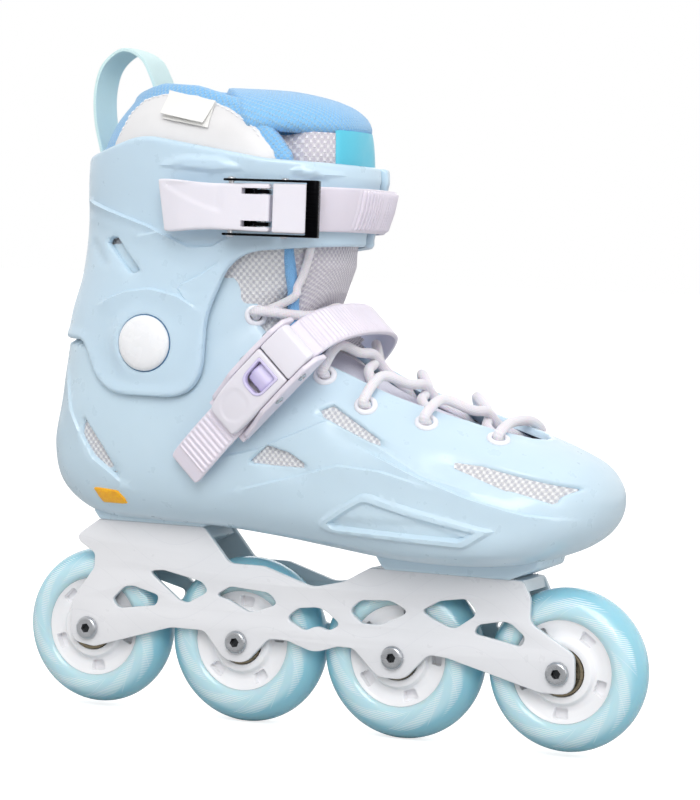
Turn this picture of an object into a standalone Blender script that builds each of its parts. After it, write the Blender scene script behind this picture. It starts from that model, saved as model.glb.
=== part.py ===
"""Inline skate (right foot): hard boot with hinged cuff, liner, laces, two buckles and a
four-wheel aluminium frame.

Lengths are in millimetres in this file and become metres when a mesh is made.
+X points to the toe, +Y to the inner side of the foot, +Z up; the origin is on the ground
under the middle of the wheelbase.
"""

import math

import bmesh
import bpy
import numpy as np
from mathutils import Matrix, Vector

MM = 0.001
GAP = 0.35                      # clearance between neighbouring pieces

# ---------------------------------------------------------------- driving dimensions
WHEEL_X = (-121.5, -40.5, 40.5, 121.5)
WHEEL_RADIUS = (38.0, 40.0, 40.0, 38.0)      # smaller end wheels give the rocker
AXLE_Z = 40.0
TYRE_HALF_WIDTH = 12.0
HUB_RADIUS = 23.6
BEARING_RADIUS = 11.0
BEARING_BORE = 4.35
BEARING_Y = (5.0, 12.0)
AXLE_RADIUS = 4.0
PLATE_INNER_Y = 13.0
PLATE_OUTER_Y = 16.0
MOUNT_X = (-82.5, 82.5)                      # 165 mm boot mounting
DECK_TOP = (94.0, 81.0)                      # rear and front boot platforms
SHELL_WALL = 3.0
CUFF_WALL = 3.2
LINER_GAP = 0.9
LINER_WALL = 4.8
PIVOT = (-80.0, 182.0)                       # cuff hinge, x and z
CUFF_LEAN = 10.0                             # forward lean, degrees
INNER_SPLIT = 63.0                           # radius about the pivot where the root's liner ends
OUTER_SPLIT = 64.6                           # and where the cuff's liner begins
EYELET_RADIUS = 2.9
LACE_RADIUS = 2.0
RING_STEPS = 4                               # lofted points in a quarter of a section

# Boot sections from the toe to the top of the ankle: the upper and lower point of each in
# side view (x, z), its half width, the roundness of its upper and lower half, where along
# it the widest point lies, and how far it is shifted to the inner side of the foot.
BOOT_SECTIONS = (
    (139.5, 120.5, 139.5, 114.0, 8.0, 2.0, 2.0, 0.50, 7.5),
    (138.0, 125.5, 138.0, 109.0, 18.0, 2.0, 2.2, 0.50, 7.0),
    (135.0, 130.5, 135.0, 104.0, 27.0, 2.1, 2.4, 0.52, 6.5),
    (129.0, 136.0, 129.0, 98.5, 37.0, 2.2, 2.6, 0.55, 6.0),
    (119.0, 141.0, 119.0, 93.0, 45.5, 2.2, 3.0, 0.58, 5.0),
    (105.0, 146.5, 105.0, 88.5, 50.5, 2.2, 3.4, 0.60, 4.0),
    (85.0, 152.5, 85.0, 86.0, 52.5, 2.2, 3.6, 0.62, 3.0),
    (60.0, 161.0, 60.0, 85.5, 52.0, 2.1, 3.6, 0.62, 2.0),
    (35.0, 170.5, 35.0, 86.5, 49.0, 2.1, 3.4, 0.60, 1.0),
    (10.0, 184.5, 8.0, 89.0, 45.5, 2.1, 3.2, 0.57, 0.5),
    (-6.0, 193.0, -20.0, 92.0, 43.0, 2.1, 3.2, 0.54, 0.0),
    (-11.0, 199.0, -52.0, 94.3, 41.8, 2.2, 3.2, 0.52, 0.0),
    (-14.0, 203.0, -86.0, 94.3, 41.5, 2.3, 3.0, 0.52, 0.0),
    (-15.0, 206.0, -117.0, 96.0, 41.5, 2.4, 2.8, 0.52, 0.0),
    (-15.0, 209.0, -138.0, 108.0, 41.5, 2.5, 2.6, 0.52, 0.0),
    (-14.0, 212.0, -144.5, 127.0, 41.5, 2.6, 2.5, 0.52, 0.0),
    (-13.0, 216.0, -142.0, 150.0, 41.5, 2.6, 2.4, 0.52, 0.0),
    (-12.0, 220.0, -139.0, 175.0, 41.5, 2.6, 2.4, 0.52, 0.0),
    (-9.0, 226.0, -136.0, 200.0, 41.5, 2.6, 2.4, 0.52, 0.0),
    (-4.0, 236.0, -130.0, 226.0, 42.0, 2.6, 2.4, 0.52, 0.0),
)
# Cuff sections from below the pivot to above the rim, in the same form.
CUFF_SECTIONS = (
    (-8.0, 146.0, -140.5, 146.0, 45.4, 2.6, 2.4, 0.50, 0.0),
    (-6.0, 165.0, -140.5, 165.0, 45.5, 2.6, 2.4, 0.50, 0.0),
    (-4.0, 182.0, -139.5, 181.0, 45.6, 2.6, 2.4, 0.50, 0.0),
    (-1.0, 199.0, -137.0, 196.0, 45.8, 2.6, 2.4, 0.50, 0.0),
    (3.5, 216.0, -132.5, 211.0, 46.2, 2.6, 2.4, 0.50, 0.0),
    (10.0, 231.0, -130.3, 226.0, 46.8, 2.6, 2.4, 0.49, 0.0),
    (15.5, 245.0, -129.7, 241.0, 47.8, 2.6, 2.4, 0.48, 0.0),
    (18.0, 258.0, -130.2, 255.0, 49.0, 2.6, 2.4, 0.48, 0.0),
    (17.0, 271.0, -129.5, 269.0, 50.2, 2.6, 2.4, 0.48, 0.0),
    (15.5, 284.0, -127.0, 284.0, 51.5, 2.6, 2.4, 0.48, 0.0),
)
# The padded collar follows the inside of the cuff and rolls inwards above it.
COLLAR_SECTIONS = (
    (-4.0, 182.0, -135.7, 181.0, 41.7, 2.6, 2.4, 0.50, 0.0),
    (-1.0, 199.0, -133.2, 196.0, 41.8, 2.6, 2.4, 0.50, 0.0),
    (1.5, 216.0, -128.7, 211.0, 42.2, 2.6, 2.4, 0.50, 0.0),
    (5.0, 231.0, -126.5, 226.0, 42.8, 2.6, 2.4, 0.49, 0.0),
    (10.0, 245.0, -125.8, 241.0, 43.8, 2.6, 2.4, 0.48, 0.0),
    (12.5, 258.0, -126.2, 255.0, 45.0, 2.6, 2.4, 0.48, 0.0),
    (12.0, 271.0, -124.0, 269.0, 45.4, 2.6, 2.4, 0.48, 0.0),
    (11.0, 284.0, -117.0, 286.0, 43.0, 2.5, 2.4, 0.48, 0.0),
    (7.5, 298.0, -104.0, 302.0, 37.0, 2.4, 2.4, 0.48, 0.0),
)

# Side-view outline of the cuff: (x, z, corner radius), from the heel along the lower edge.
CUFF_OUTLINE = (
    (-160, 182, 0), (-118, 182, 8), (-104, 157, 24), (-51, 157, 24), (-49, 196, 40),
    (-36, 226, 26), (6, 230, 30), (40, 235, 0), (40, 268, 0), (-20, 270, 60),
    (-76, 281, 60), (-110, 271, 20), (-160, 271, 0),
)
# Plan outline of one half of the boot's front opening, from its toe end to the ankle.
THROAT_OUTLINE = ((107, 4), (103, 10.6), (90, 16.2), (60, 21), (30, 24), (5, 27), (-12, 30),
                  (-28, 34), (-32, 48))
# Ventilation slots in side view.
VENTS = (
    ((78, 135), (90, 135), (133, 126), (125, 119), (109, 124)),
    ((15, 158), (8, 154), (37, 142), (46, 140)),
    ((-15, 137), (-25, 129), (6, 128), (-4, 134)),
    ((-116, 143), (-116, 136), (-109, 130), (-98, 120)),
)
# Eyelets on one side: position along the list of boot sections, and around the section.
EYELETS = ((5.7, 0.165), (7.05, 0.213), (8.2, 0.255), (9.1, 0.245), (14.0, 0.240))

FRAME_OUTLINE = (
    (-117, 94, 3), (-131, 84, 4), (-119, 77, 3), (-119, 70, 5), (-131, 53, 6),
    (-131, 33, 8), (-118, 31, 8), (-76, 44, 12), (-58, 44, 6), (-47, 31, 9),
    (-36, 30, 9), (-24, 43, 6), (-14, 43, 10), (0, 38.5, 14), (12, 42.5, 6),
    (20, 42.5, 6), (33, 30, 9), (46, 30, 9), (58, 43, 7), (68, 42, 10),
    (113, 30.5, 8), (130, 30.5, 9), (129, 49, 6), (107, 62, 6), (107, 73, 5),
    (103, 81, 3), (27, 81, 4), (14, 73.5, 16), (-2, 69.5, 14), (-28, 77.5, 8),
    (-46, 77.5, 6), (-60, 94, 4),
)
FRAME_WINDOWS = (
    ((-109, 55, 1.5), (-102, 62, 3), (-97, 62.5, 2), (-83, 59, 1.5), (-84.5, 54, 1.5),
     (-105, 51, 2)),
    ((-89.5, 70.5, 1.5), (-81, 71.5, 3), (-60, 67.5, 3), (-56.5, 63, 2), (-67.5, 56.5, 2.5),
     (-72, 57.5, 2)),
    ((-53, 61.5, 1.5), (-45, 66.5, 3), (-24, 65, 3), (-19.5, 60, 2), (-34, 54.5, 3),
     (-46, 60, 3)),
    ((-15.5, 53.5, 1.5), (-9, 59, 3), (3, 60.5, 5), (13.5, 53, 1.5), (7, 49.5, 2),
     (1, 51.5, 3), (-5, 48.5, 2)),
    ((17, 60, 1.5), (23, 65.5, 3), (38, 66.5, 4), (48.5, 62, 1.5), (33, 54.5, 4),
     (24, 54.5, 2)),
    ((53.5, 63, 1.5), (63, 68.5, 4), (76, 70.5, 2), (82, 64, 1.5), (70, 55.5, 3),
     (59, 60, 3)),
    ((80, 54.5, 1.5), (82, 59, 2), (97, 62, 4), (105.5, 55, 1.5), (103.5, 50.5, 1.5),
     (93, 52.5, 3)),
)

# Instep strap: its plane holds Y and this direction in side view.
INSTEP_ORIGIN = (-14.0, 168.0)
INSTEP_SLOPE = math.radians(46.0)
# Strap's centre line in that plane: along the slope, and y.
INSTEP_PATH = ((-62, -45.5), (-50, -48.5), (-34, -50.6), (-15, -51.0), (8, -51.0), (20, -50.9),
               (28, -48.6), (34, -42.5), (38, -32), (40.4, -17.0), (41, 0.0), (39.8, 17.0), (35.5, 31.0),
               (26, 39.5), (12, 42.6), (-4, 42.2))
INSTEP_WIDTH = 19.0
STRAP_THICKNESS = 2.4

# Top buckle: its frame sits on the outer side of the cuff, turned to lie along it.
TOP_ORIGIN = (-17.5, -52.0, 247.0)           # the lever's pin
TOP_TURN = math.radians(9.0)

PIVOT_BOLT_RADIUS = 5.0
CAP_RADIUS = 13.2
BOLT_SEAT = (97.8, 90.2)                     # undersides of the mounting bolts' heads
REFLECTOR_CORNERS = ((13.3, 0.72), (12.6, 0.73), (12.35, 0.78), (12.85, 0.785))
BAIL_PIN = (-15.0, -2.4)                     # in the top buckle's frame
TOP_STRAP_SPAN = (5.45, 7.0)                 # between which cuff sections the strap runs
TOP_ANCHOR = 0.40                            # the strap's fixed end, around the cuff
INSTEP_SCREW = -12.0                         # along the strap
INSTEP_ANCHOR = 2.0
INSTEP_LEVER_PIN = (0.5, -56.6)
INSTEP_PAWL_PIN = (16.1, -56.2)
INSOLE_STATIONS = (-115, -108, -95, -80, -60, -38, -24, -10, 5, 22, 40, 60, 80, 95, 106)
INSOLE_THICKNESS = 3.0
INSOLE_LIFT = 3.2                            # above the liner's floor
HEEL_LEVEL_END = -37.0                       # the insole is level behind this x
HEEL_FLOOR = 108.0
# Lower tongue: stations along the boot sections and how far it reaches around each.
TONGUE_STOPS = ((4.3, 0.10), (5.0, 0.15), (6.0, 0.18), (7.0, 0.20), (8.0, 0.23), (9.0, 0.27),
                (10.0, 0.30), (10.8, 0.32))
LINER_SECTIONS = BOOT_SECTIONS + (
    (0.0, 246.0, -128.5, 242.0, 42.4, 2.6, 2.4, 0.50, 0.0),
    (4.0, 256.0, -127.5, 254.0, 43.0, 2.6, 2.4, 0.50, 0.0),
)

# Colour, metallic, roughness
FINISHES = {
    "shell_blue": ((0.60, 0.80, 0.92), 0.0, 0.35),
    "white_plastic": ((0.88, 0.87, 0.92), 0.0, 0.35),
    "black_steel": ((0.03, 0.03, 0.035), 0.8, 0.35),
    "steel": ((0.55, 0.56, 0.58), 1.0, 0.3),
    "bearing_steel": ((0.45, 0.42, 0.38), 1.0, 0.35),
    "frame_white": ((0.88, 0.89, 0.91), 0.1, 0.4),
    "tyre": ((0.62, 0.86, 0.94), 0.0, 0.3),
    "hub_white": ((0.92, 0.93, 0.94), 0.0, 0.4),
    "liner_pearl": ((0.86, 0.86, 0.84), 0.0, 0.5),
    "mesh_blue": ((0.35, 0.62, 0.88), 0.0, 0.8),
    "mesh_grey": ((0.80, 0.80, 0.82), 0.0, 0.8),
    "loop_mint": ((0.66, 0.90, 0.88), 0.0, 0.7),
    "amber": ((0.95, 0.62, 0.02), 0.0, 0.25),
    "lace_white": ((0.93, 0.93, 0.95), 0.0, 0.8),
    "foam_grey": ((0.45, 0.47, 0.50), 0.0, 0.9),
}


# ---------------------------------------------------------------- scene helpers
def clear_scene():
    for old in list(bpy.data.objects):
        bpy.data.objects.remove(old, do_unlink=True)


def new_collection(name):
    made = bpy.data.collections.new(name)
    bpy.context.scene.collection.children.link(made)
    return made


def finish_material(finish):
    found = bpy.data.materials.get(finish)
    if found:
        return found
    color, metallic, roughness = FINISHES[finish]
    made = bpy.data.materials.new(finish)
    made.use_nodes = True
    shader = made.node_tree.nodes["Principled BSDF"]
    shader.inputs["Base Color"].default_value = (*color, 1.0)
    shader.inputs["Metallic"].default_value = metallic
    shader.inputs["Roughness"].default_value = roughness
    return made


def own_material(obj, finish):
    """Give an object its own copy of a finish."""
    material = finish_material(finish).copy()
    material.name = obj.name
    obj.data.materials.clear()
    obj.data.materials.append(material)


def add_object(name, mesh, finish=None):
    obj = bpy.data.objects.new(name, mesh)
    if finish:
        SKATE.objects.link(obj)
        own_material(obj, finish)
    else:
        CUTTERS.objects.link(obj)
        obj.hide_render = True
        obj.display_type = "WIRE"
    return obj


def mesh_from(name, points, faces):
    """Mesh from points in millimetres."""
    mesh = bpy.data.meshes.new(name)
    mesh.from_pydata([Vector(p) * MM for p in points], [], faces)
    mesh.update()
    return mesh


def smooth(obj, angle=35.0):
    obj.data.shade_smooth()
    obj.data.set_sharp_from_angle(angle=math.radians(angle))
    return obj


def boolean(obj, other, operation):
    step = obj.modifiers.new(operation.lower(), "BOOLEAN")
    step.operation = operation
    step.solver = "EXACT"
    step.object = other


def cut(obj, *others):
    for other in others:
        boolean(obj, other, "DIFFERENCE")


def join(obj, *others):
    for other in others:
        boolean(obj, other, "UNION")


# ---------------------------------------------------------------- outlines and solids
def rounded(corners, steps=3):
    """Points of an outline whose corners (x, z, radius) are rounded by arcs."""
    if steps == 0:
        return [Vector(corner[:2]) for corner in corners]
    points = []
    count = len(corners)
    for i, (x, z, radius) in enumerate(corners):
        here = Vector((x, z))
        before = (Vector(corners[i - 1][:2]) - here)
        after = (Vector(corners[(i + 1) % count][:2]) - here)
        if radius == 0:
            points.append(here)
            continue
        half = before.angle(after) / 2.0
        reach = radius / math.tan(half)
        reach = min(reach, 0.48 * before.length, 0.48 * after.length)
        start = here + before.normalized() * reach
        end = here + after.normalized() * reach
        for k in range(steps + 1):
            t = k / steps
            points.append(start * (1 - t) ** 2 + here * 2 * t * (1 - t) + end * t ** 2)
    return points


def prism(name, outlines, low, high, finish=None, axes="XZ", place=None):
    """Solid between two heights of one or more flat outlines; later outlines are holes.

    axes XZ extrudes along Y and axes XY along Z; place moves the result from that frame.
    """
    curve = bpy.data.curves.new(name, "CURVE")
    curve.dimensions = "2D"
    curve.fill_mode = "BOTH"
    curve.extrude = (high - low) / 2.0 * MM
    for outline in outlines:
        spline = curve.splines.new("POLY")
        spline.points.add(len(outline) - 1)
        for point, corner in zip(spline.points, outline):
            point.co = (corner[0] * MM, corner[1] * MM, 0.0, 1.0)
        spline.use_cyclic_u = True
    shape = bpy.data.objects.new(name, curve)
    bpy.context.scene.collection.objects.link(shape)
    middle = (high + low) / 2.0 * MM
    if axes == "XZ":
        turn = Matrix(((1, 0, 0, 0), (0, 0, -1, middle), (0, 1, 0, 0), (0, 0, 0, 1)))
    else:
        turn = Matrix.Translation((0, 0, middle))
    shape.matrix_world = (place or Matrix.Identity(4)) @ turn
    return curve_to_mesh(shape, name, finish)


def curve_to_mesh(shape, name, finish):
    """Turn a curve object into a welded mesh object in world space."""
    bpy.context.view_layer.update()
    graph = bpy.context.evaluated_depsgraph_get()
    mesh = bpy.data.meshes.new_from_object(shape.evaluated_get(graph))
    mesh.transform(shape.matrix_world)
    bpy.data.objects.remove(shape)
    shaped = bmesh.new()
    shaped.from_mesh(mesh)
    bmesh.ops.remove_doubles(shaped, verts=shaped.verts, dist=0.00001)
    bmesh.ops.recalc_face_normals(shaped, faces=shaped.faces)
    shaped.to_mesh(mesh)
    shaped.free()
    mesh.name = name
    return add_object(name, mesh, finish)


def tube(name, route, radius, finish):
    """Round cord along a route of points in millimetres."""
    curve = bpy.data.curves.new(name, "CURVE")
    curve.dimensions = "3D"
    curve.bevel_depth = radius * MM
    curve.bevel_resolution = 2
    curve.use_fill_caps = True
    spline = curve.splines.new("POLY")
    spline.points.add(len(route) - 1)
    for point, place in zip(spline.points, route):
        point.co = (*[c * MM for c in place], 1.0)
    shape = bpy.data.objects.new(name, curve)
    bpy.context.scene.collection.objects.link(shape)
    return curve_to_mesh(shape, name, finish)


def turned(name, profile, steps, place, finish=None, closed=True):
    """Turned solid about its local Z: the profile (radius, height) runs down its outer side."""
    mesh = bpy.data.meshes.new(name)
    last = len(profile) - (0 if closed else 1)
    edges = [(i, (i + 1) % len(profile)) for i in range(last)]
    mesh.from_pydata([(r * MM, 0, h * MM) for r, h in profile], edges, [])
    obj = add_object(name, mesh, finish)
    screw = obj.modifiers.new("turn", "SCREW")
    screw.steps = steps
    screw.render_steps = steps
    screw.use_merge_vertices = True
    screw.merge_threshold = 0.00001
    screw.use_smooth_shade = True
    obj.matrix_world = place
    return obj


def along_y(x, y, z):
    """Placement whose local Z points along +Y."""
    return Matrix.Translation(Vector((x, y, z)) * MM) @ Matrix.Rotation(-math.pi / 2, 4, "X")


def cylinder(name, radius, start, end, finish=None, sides=20):
    """Closed cylinder between two points in millimetres."""
    start, end = Vector(start), Vector(end)
    way = end - start
    shaped = bmesh.new()
    bmesh.ops.create_cone(shaped, cap_ends=True, segments=sides, radius1=radius * MM,
                          radius2=radius * MM, depth=way.length * MM)
    mesh = bpy.data.meshes.new(name)
    shaped.to_mesh(mesh)
    shaped.free()
    turn = way.to_track_quat("Z", "Y").to_matrix().to_4x4()
    mesh.transform(Matrix.Translation((start + end) / 2 * MM) @ turn)
    return add_object(name, mesh, finish)


def box(name, low, high, finish=None, place=None):
    """Block between two corners in millimetres, moved by place."""
    low, high = Vector(low), Vector(high)
    shaped = bmesh.new()
    bmesh.ops.create_cube(shaped, size=1.0)
    size = Matrix.Diagonal((*((high - low) * MM), 1.0))
    bmesh.ops.transform(shaped, matrix=Matrix.Translation((low + high) / 2 * MM) @ size,
                        verts=shaped.verts)
    mesh = bpy.data.meshes.new(name)
    shaped.to_mesh(mesh)
    shaped.free()
    if place:
        mesh.transform(place)
    return add_object(name, mesh, finish)


# ---------------------------------------------------------------- lofted surfaces
def between(sections, at):
    """Section at a fractional place in a list, on a smooth curve through the list."""
    last = len(sections) - 1
    i = min(max(int(math.floor(at)), 0), last - 1)
    t = at - i
    table = np.array(sections)
    p1, p2 = table[i], table[i + 1]
    p0 = table[i - 1] if i > 0 else 2 * p1 - p2
    p3 = table[i + 2] if i + 2 <= last else 2 * p2 - p1
    return 0.5 * (2 * p1 + (p2 - p0) * t + (2 * p0 - 5 * p1 + 4 * p2 - p3) * t ** 2
                  + (3 * p1 - p0 - 3 * p2 + p3) * t ** 3)


def on_section(section, around, offset):
    """Point on a section; around runs 0 at the top, 1 at the bottom, 2 at the top again.

    The inner side of the foot comes first. A positive offset is outside the surface.
    """
    fx, fz, bx, bz, width, round_top, round_low, widest, shift = section
    side = 1.0 if around <= 1.0 else -1.0
    place = around if around <= 1.0 else 2.0 - around
    if place <= 0.5:
        angle = place * math.pi
        along = widest * (1 - math.cos(angle) ** (2 / round_top))
        half = math.sin(angle) ** (2 / round_top)
    else:
        angle = (1 - place) * math.pi
        along = 1 - (1 - widest) * (1 - math.cos(angle) ** (2 / round_low))
        half = math.sin(angle) ** (2 / round_low)
    top, low = Vector((fx, fz)), Vector((bx, bz))
    way = (low - top).normalized()
    top, low = top - way * offset, low + way * offset
    spot = top + (low - top) * along
    reach = spot.x + offset * max(0.0, (fx + bx) / 2 - 80.0) / 60.0
    return Vector((reach, shift + side * half * (width + offset), spot.y))


def ring(section, offset, steps=RING_STEPS):
    return [on_section(section, k / (2.0 * steps), offset) for k in range(4 * steps)]


def loft_faces(rings, count, first, flip):
    faces = []
    for i in range(rings - 1):
        for k in range(count):
            a, b = first + i * count + k, first + i * count + (k + 1) % count
            face = (a, b, b + count, a + count)
            faces.append(face[::-1] if flip else face)
    return faces


def loft(name, rings, finish=None):
    """Closed solid through a list of rings."""
    count = len(rings[0])
    points = [p for one in rings for p in one]
    faces = loft_faces(len(rings), count, 0, False)
    faces.append(tuple(range(count))[::-1])
    faces.append(tuple(range(len(points) - count, len(points))))
    return outward(add_object(name, mesh_from(name, points, faces), finish))


def walled_loft(name, outer, inner, closed_start, finish):
    """Wall between two lists of rings, open at its end and perhaps at its start."""
    count = len(outer[0])
    points = [p for one in outer for p in one] + [p for one in inner for p in one]
    second = len(outer) * count
    faces = loft_faces(len(outer), count, 0, False)
    faces += loft_faces(len(inner), count, second, True)
    ends = [(len(outer) - 1) * count]
    if closed_start:
        faces.append(tuple(range(count))[::-1])
        faces.append(tuple(range(second, second + count)))
    else:
        ends.append(0)
    for end in ends:
        for k in range(count):
            a, b = end + k, end + (k + 1) % count
            face = (a, b, b + second, a + second)
            faces.append(face if end else face[::-1])
    return outward(add_object(name, mesh_from(name, points, faces), finish))


def outward(obj):
    """Turn a closed mesh's faces outwards."""
    shaped = bmesh.new()
    shaped.from_mesh(obj.data)
    bmesh.ops.recalc_face_normals(shaped, faces=shaped.faces)
    if shaped.calc_volume(signed=True) < 0:
        bmesh.ops.reverse_faces(shaped, faces=shaped.faces)
    shaped.to_mesh(obj.data)
    shaped.free()
    return obj


def band(name, route, across, width, thickness, finish):
    """Flat strap along a route; across is its width direction, thickness lies over the route."""
    across = Vector(across).normalized()
    points = []
    for i, spot in enumerate(route):
        before, after = Vector(route[max(i - 1, 0)]), Vector(route[min(i + 1, len(route) - 1)])
        normal = (after - before).normalized().cross(across) * thickness / 2
        for side, face in ((-1, -1), (1, -1), (1, 1), (-1, 1)):
            points.append(Vector(spot) + across * side * width / 2 + normal * face)
    faces = loft_faces(len(route), 4, 0, False)
    faces += [(3, 2, 1, 0), tuple(range(len(points) - 4, len(points)))]
    return outward(add_object(name, mesh_from(name, points, faces), finish))


def curve_through(points, per_span):
    """Smooth route through hand-placed points."""
    count = len(points) - 1
    return [Vector(between(points, k / per_span)) for k in range(count * per_span + 1)]


# ---------------------------------------------------------------- wheels and frame
def tyre_profile(radius):
    """Closed half section of a tyre, running down its outer side."""
    arc = [math.radians(a) for a in (90, 52, 18, -18, -52, -90)]
    outer = [(28 + (radius - 28) * math.cos(a), TYRE_HALF_WIDTH * math.sin(a)) for a in arc]
    rim = HUB_RADIUS + GAP
    return [(rim, 10.9)] + outer + [(rim, -10.9)]


def make_wheel(number, x, radius):
    axle = (x, 0.0, AXLE_Z)
    tyre = turned(f"tyre_{number}", tyre_profile(radius), 28, along_y(*axle), "tyre")
    core = BEARING_RADIUS + GAP
    hub = turned(f"hub_{number}", [
        (core, 11.6), (14.5, 11.6), (15.5, 8.8), (HUB_RADIUS, 8.8),
        (HUB_RADIUS, -8.8), (15.5, -8.8), (14.5, -11.6), (core, -11.6),
        (core, -4.7), (6.2, -4.7), (6.2, 4.7), (core, 4.7)], 20, along_y(*axle), "hub_white")
    for k in range(5):
        turn = Matrix.Translation(Vector(axle) * MM) @ Matrix.Rotation(
            math.radians(72 * k + 36), 4, "Y")
        notch = prism(f"notch_{number}_{k}", [[(-3.4, 16.6), (3.4, 16.6), (4.2, 22.2), (-4.2, 22.2)]],
                      -15, 15, place=turn)
        cut(hub, notch)
    for side, sign in (("outer", -1), ("inner", 1)):
        middle = sign * sum(BEARING_Y) / 2
        half = (BEARING_Y[1] - BEARING_Y[0]) / 2
        turned(f"bearing_{side}_{number}", [
            (BEARING_BORE, half), (BEARING_RADIUS, half), (BEARING_RADIUS, -half),
            (BEARING_BORE, -half)], 16, along_y(x, middle, AXLE_Z), "bearing_steel")
    reach = BEARING_Y[0] - GAP
    turned(f"spacer_{number}", [(BEARING_BORE, reach), (5.4, reach), (5.4, -reach),
                                (BEARING_BORE, -reach)], 12, along_y(*axle), "steel")
    head, washer = -PLATE_OUTER_Y - GAP, -PLATE_OUTER_Y - 2.8
    axle_bolt = cylinder(f"axle_{number}", AXLE_RADIUS, (x, head - 0.5, AXLE_Z),
                         (x, PLATE_OUTER_Y, AXLE_Z), "steel", 16)
    join(axle_bolt, cylinder(f"axle_head_{number}", 5.6, (x, washer, AXLE_Z), (x, head, AXLE_Z),
                             sides=20))
    cut(axle_bolt, cylinder(f"axle_socket_{number}", 2.4, (x, washer - 1, AXLE_Z),
                            (x, washer + 2.2, AXLE_Z), sides=6))
    return tyre


def make_frame():
    outlines = [rounded(FRAME_OUTLINE, 1)] + [rounded(w, 0) for w in FRAME_WINDOWS]
    frame = prism("frame", outlines, -PLATE_OUTER_Y, -PLATE_INNER_Y, "frame_white")
    far = prism("frame_far_plate", outlines, PLATE_INNER_Y, PLATE_OUTER_Y)
    inside = PLATE_INNER_Y + 1.5
    rear = prism("frame_rear_deck", [rounded((
        (-116, 94, 0), (-121, 88, 0), (-114, 85, 3), (-65, 85, 3), (-57, 89, 0), (-61, 94, 0)))],
        -inside, inside)
    front = prism("frame_front_deck", [rounded((
        (27, 81, 0), (21, 76, 0), (105, 74, 0), (103, 81, 0)))], -inside, inside)
    for number, x in enumerate(WHEEL_X):
        well = cylinder(f"wheel_well_{number}", WHEEL_RADIUS[number] + 1.6,
                        (x, -30, AXLE_Z), (x, 30, AXLE_Z), sides=36)
        cut(rear if x < 0 else front, well)
    join(frame, far, rear, front)
    for number, x in enumerate(WHEEL_X):
        for sign in (-1, 1):
            join(frame, cylinder(f"boss_{number}_{sign}", 6.0, (x, sign * (BEARING_Y[1] + GAP), AXLE_Z),
                                 (x, sign * (PLATE_INNER_Y + 1), AXLE_Z), sides=14))
        cut(frame, cylinder(f"axle_hole_{number}", BEARING_BORE, (x, -30, AXLE_Z),
                            (x, 30, AXLE_Z), sides=16))
    for x, top in zip(MOUNT_X, DECK_TOP):
        cut(frame, cylinder(f"mount_hole_{x}", 3.4, (x, 0, top - 20), (x, 0, top + 5), sides=12))
    return frame


def make_mount_bolts():
    for name, x, top, seat in (("mount_bolt_rear", MOUNT_X[0], DECK_TOP[0], BOLT_SEAT[0]),
                               ("mount_bolt_front", MOUNT_X[1], DECK_TOP[1], BOLT_SEAT[1])):
        bolt = cylinder(name, 3.0, (x, 0, top - 9), (x, 0, seat + 1), "steel", 12)
        join(bolt, cylinder(f"{name}_head", 6.5, (x, 0, seat), (x, 0, seat + 2.6), sides=16))
        cut(bolt, cylinder(f"{name}_socket", 2.5, (x, 0, seat + 1.0), (x, 0, seat + 5), sides=6))


# ---------------------------------------------------------------- boot
def section_rings(sections, offset, first=0):
    return [ring(between(sections, stop), offset) for stop in range(first, len(sections))]


def cuff_rings(offset):
    return section_rings(CUFF_SECTIONS, offset)


def open_front(obj, name, grow):
    """Cut the instep opening, widened by grow, leaving the toe cap closed ahead of it."""
    side = [(x + grow * 0.4, y + grow) for x, y in THROAT_OUTLINE[:-1]]
    side.append((THROAT_OUTLINE[-1][0] - grow * 0.6, THROAT_OUTLINE[-1][1] + grow))
    outline = side + [(x, -y) for x, y in reversed(side)]
    cut(obj, prism(name, [outline], 118.0, 300.0, axes="XY"))


def cuff_sweep(name, angle):
    """Everything the cuff passes through at one lean, grown by the clearance."""
    grown = [(x, z - 0.8 if z < 240 else z + 4, r) for x, z, r in CUFF_OUTLINE]
    body = prism(f"cuff_path_{name}", [rounded(grown, 2)], -90, 90)
    cavity = loft(f"cuff_path_hollow_{name}", cuff_rings(-CUFF_WALL - 0.5))
    cut(body, cavity)
    turn = (Matrix.Translation((PIVOT[0] * MM, 0, PIVOT[1] * MM))
            @ Matrix.Rotation(math.radians(angle), 4, "Y")
            @ Matrix.Translation((-PIVOT[0] * MM, 0, -PIVOT[1] * MM)))
    body.matrix_world = turn
    cavity.matrix_world = turn
    return body


def about_pivot(radius, name):
    """Wide disc about the cuff's hinge."""
    return cylinder(name, radius, (PIVOT[0], -90, PIVOT[1]), (PIVOT[0], 90, PIVOT[1]), sides=48)


def wedge(name, low, high):
    """Wide sector about the cuff's hinge between two directions in degrees."""
    reach = 260.0
    points = [PIVOT]
    steps = 4
    for k in range(steps + 1):
        angle = math.radians(low + (high - low) * k / steps)
        points.append((PIVOT[0] + reach * math.cos(angle), PIVOT[1] + reach * math.sin(angle)))
    return prism(name, [points], -90, 90)


def above_split(name, radius, front_angle):
    """Region above the hinge and outside a radius about it, where the cuff's liner lives."""
    region = wedge(name, front_angle, 181.0)
    cut(region, about_pivot(radius, f"{name}_disc"))
    return region


def clear_cuff(obj, name):
    """Cut away whatever the leaning cuff would touch."""
    for step in range(2):
        cut(obj, cuff_sweep(f"{name}_{step}", CUFF_LEAN * step))


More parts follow.
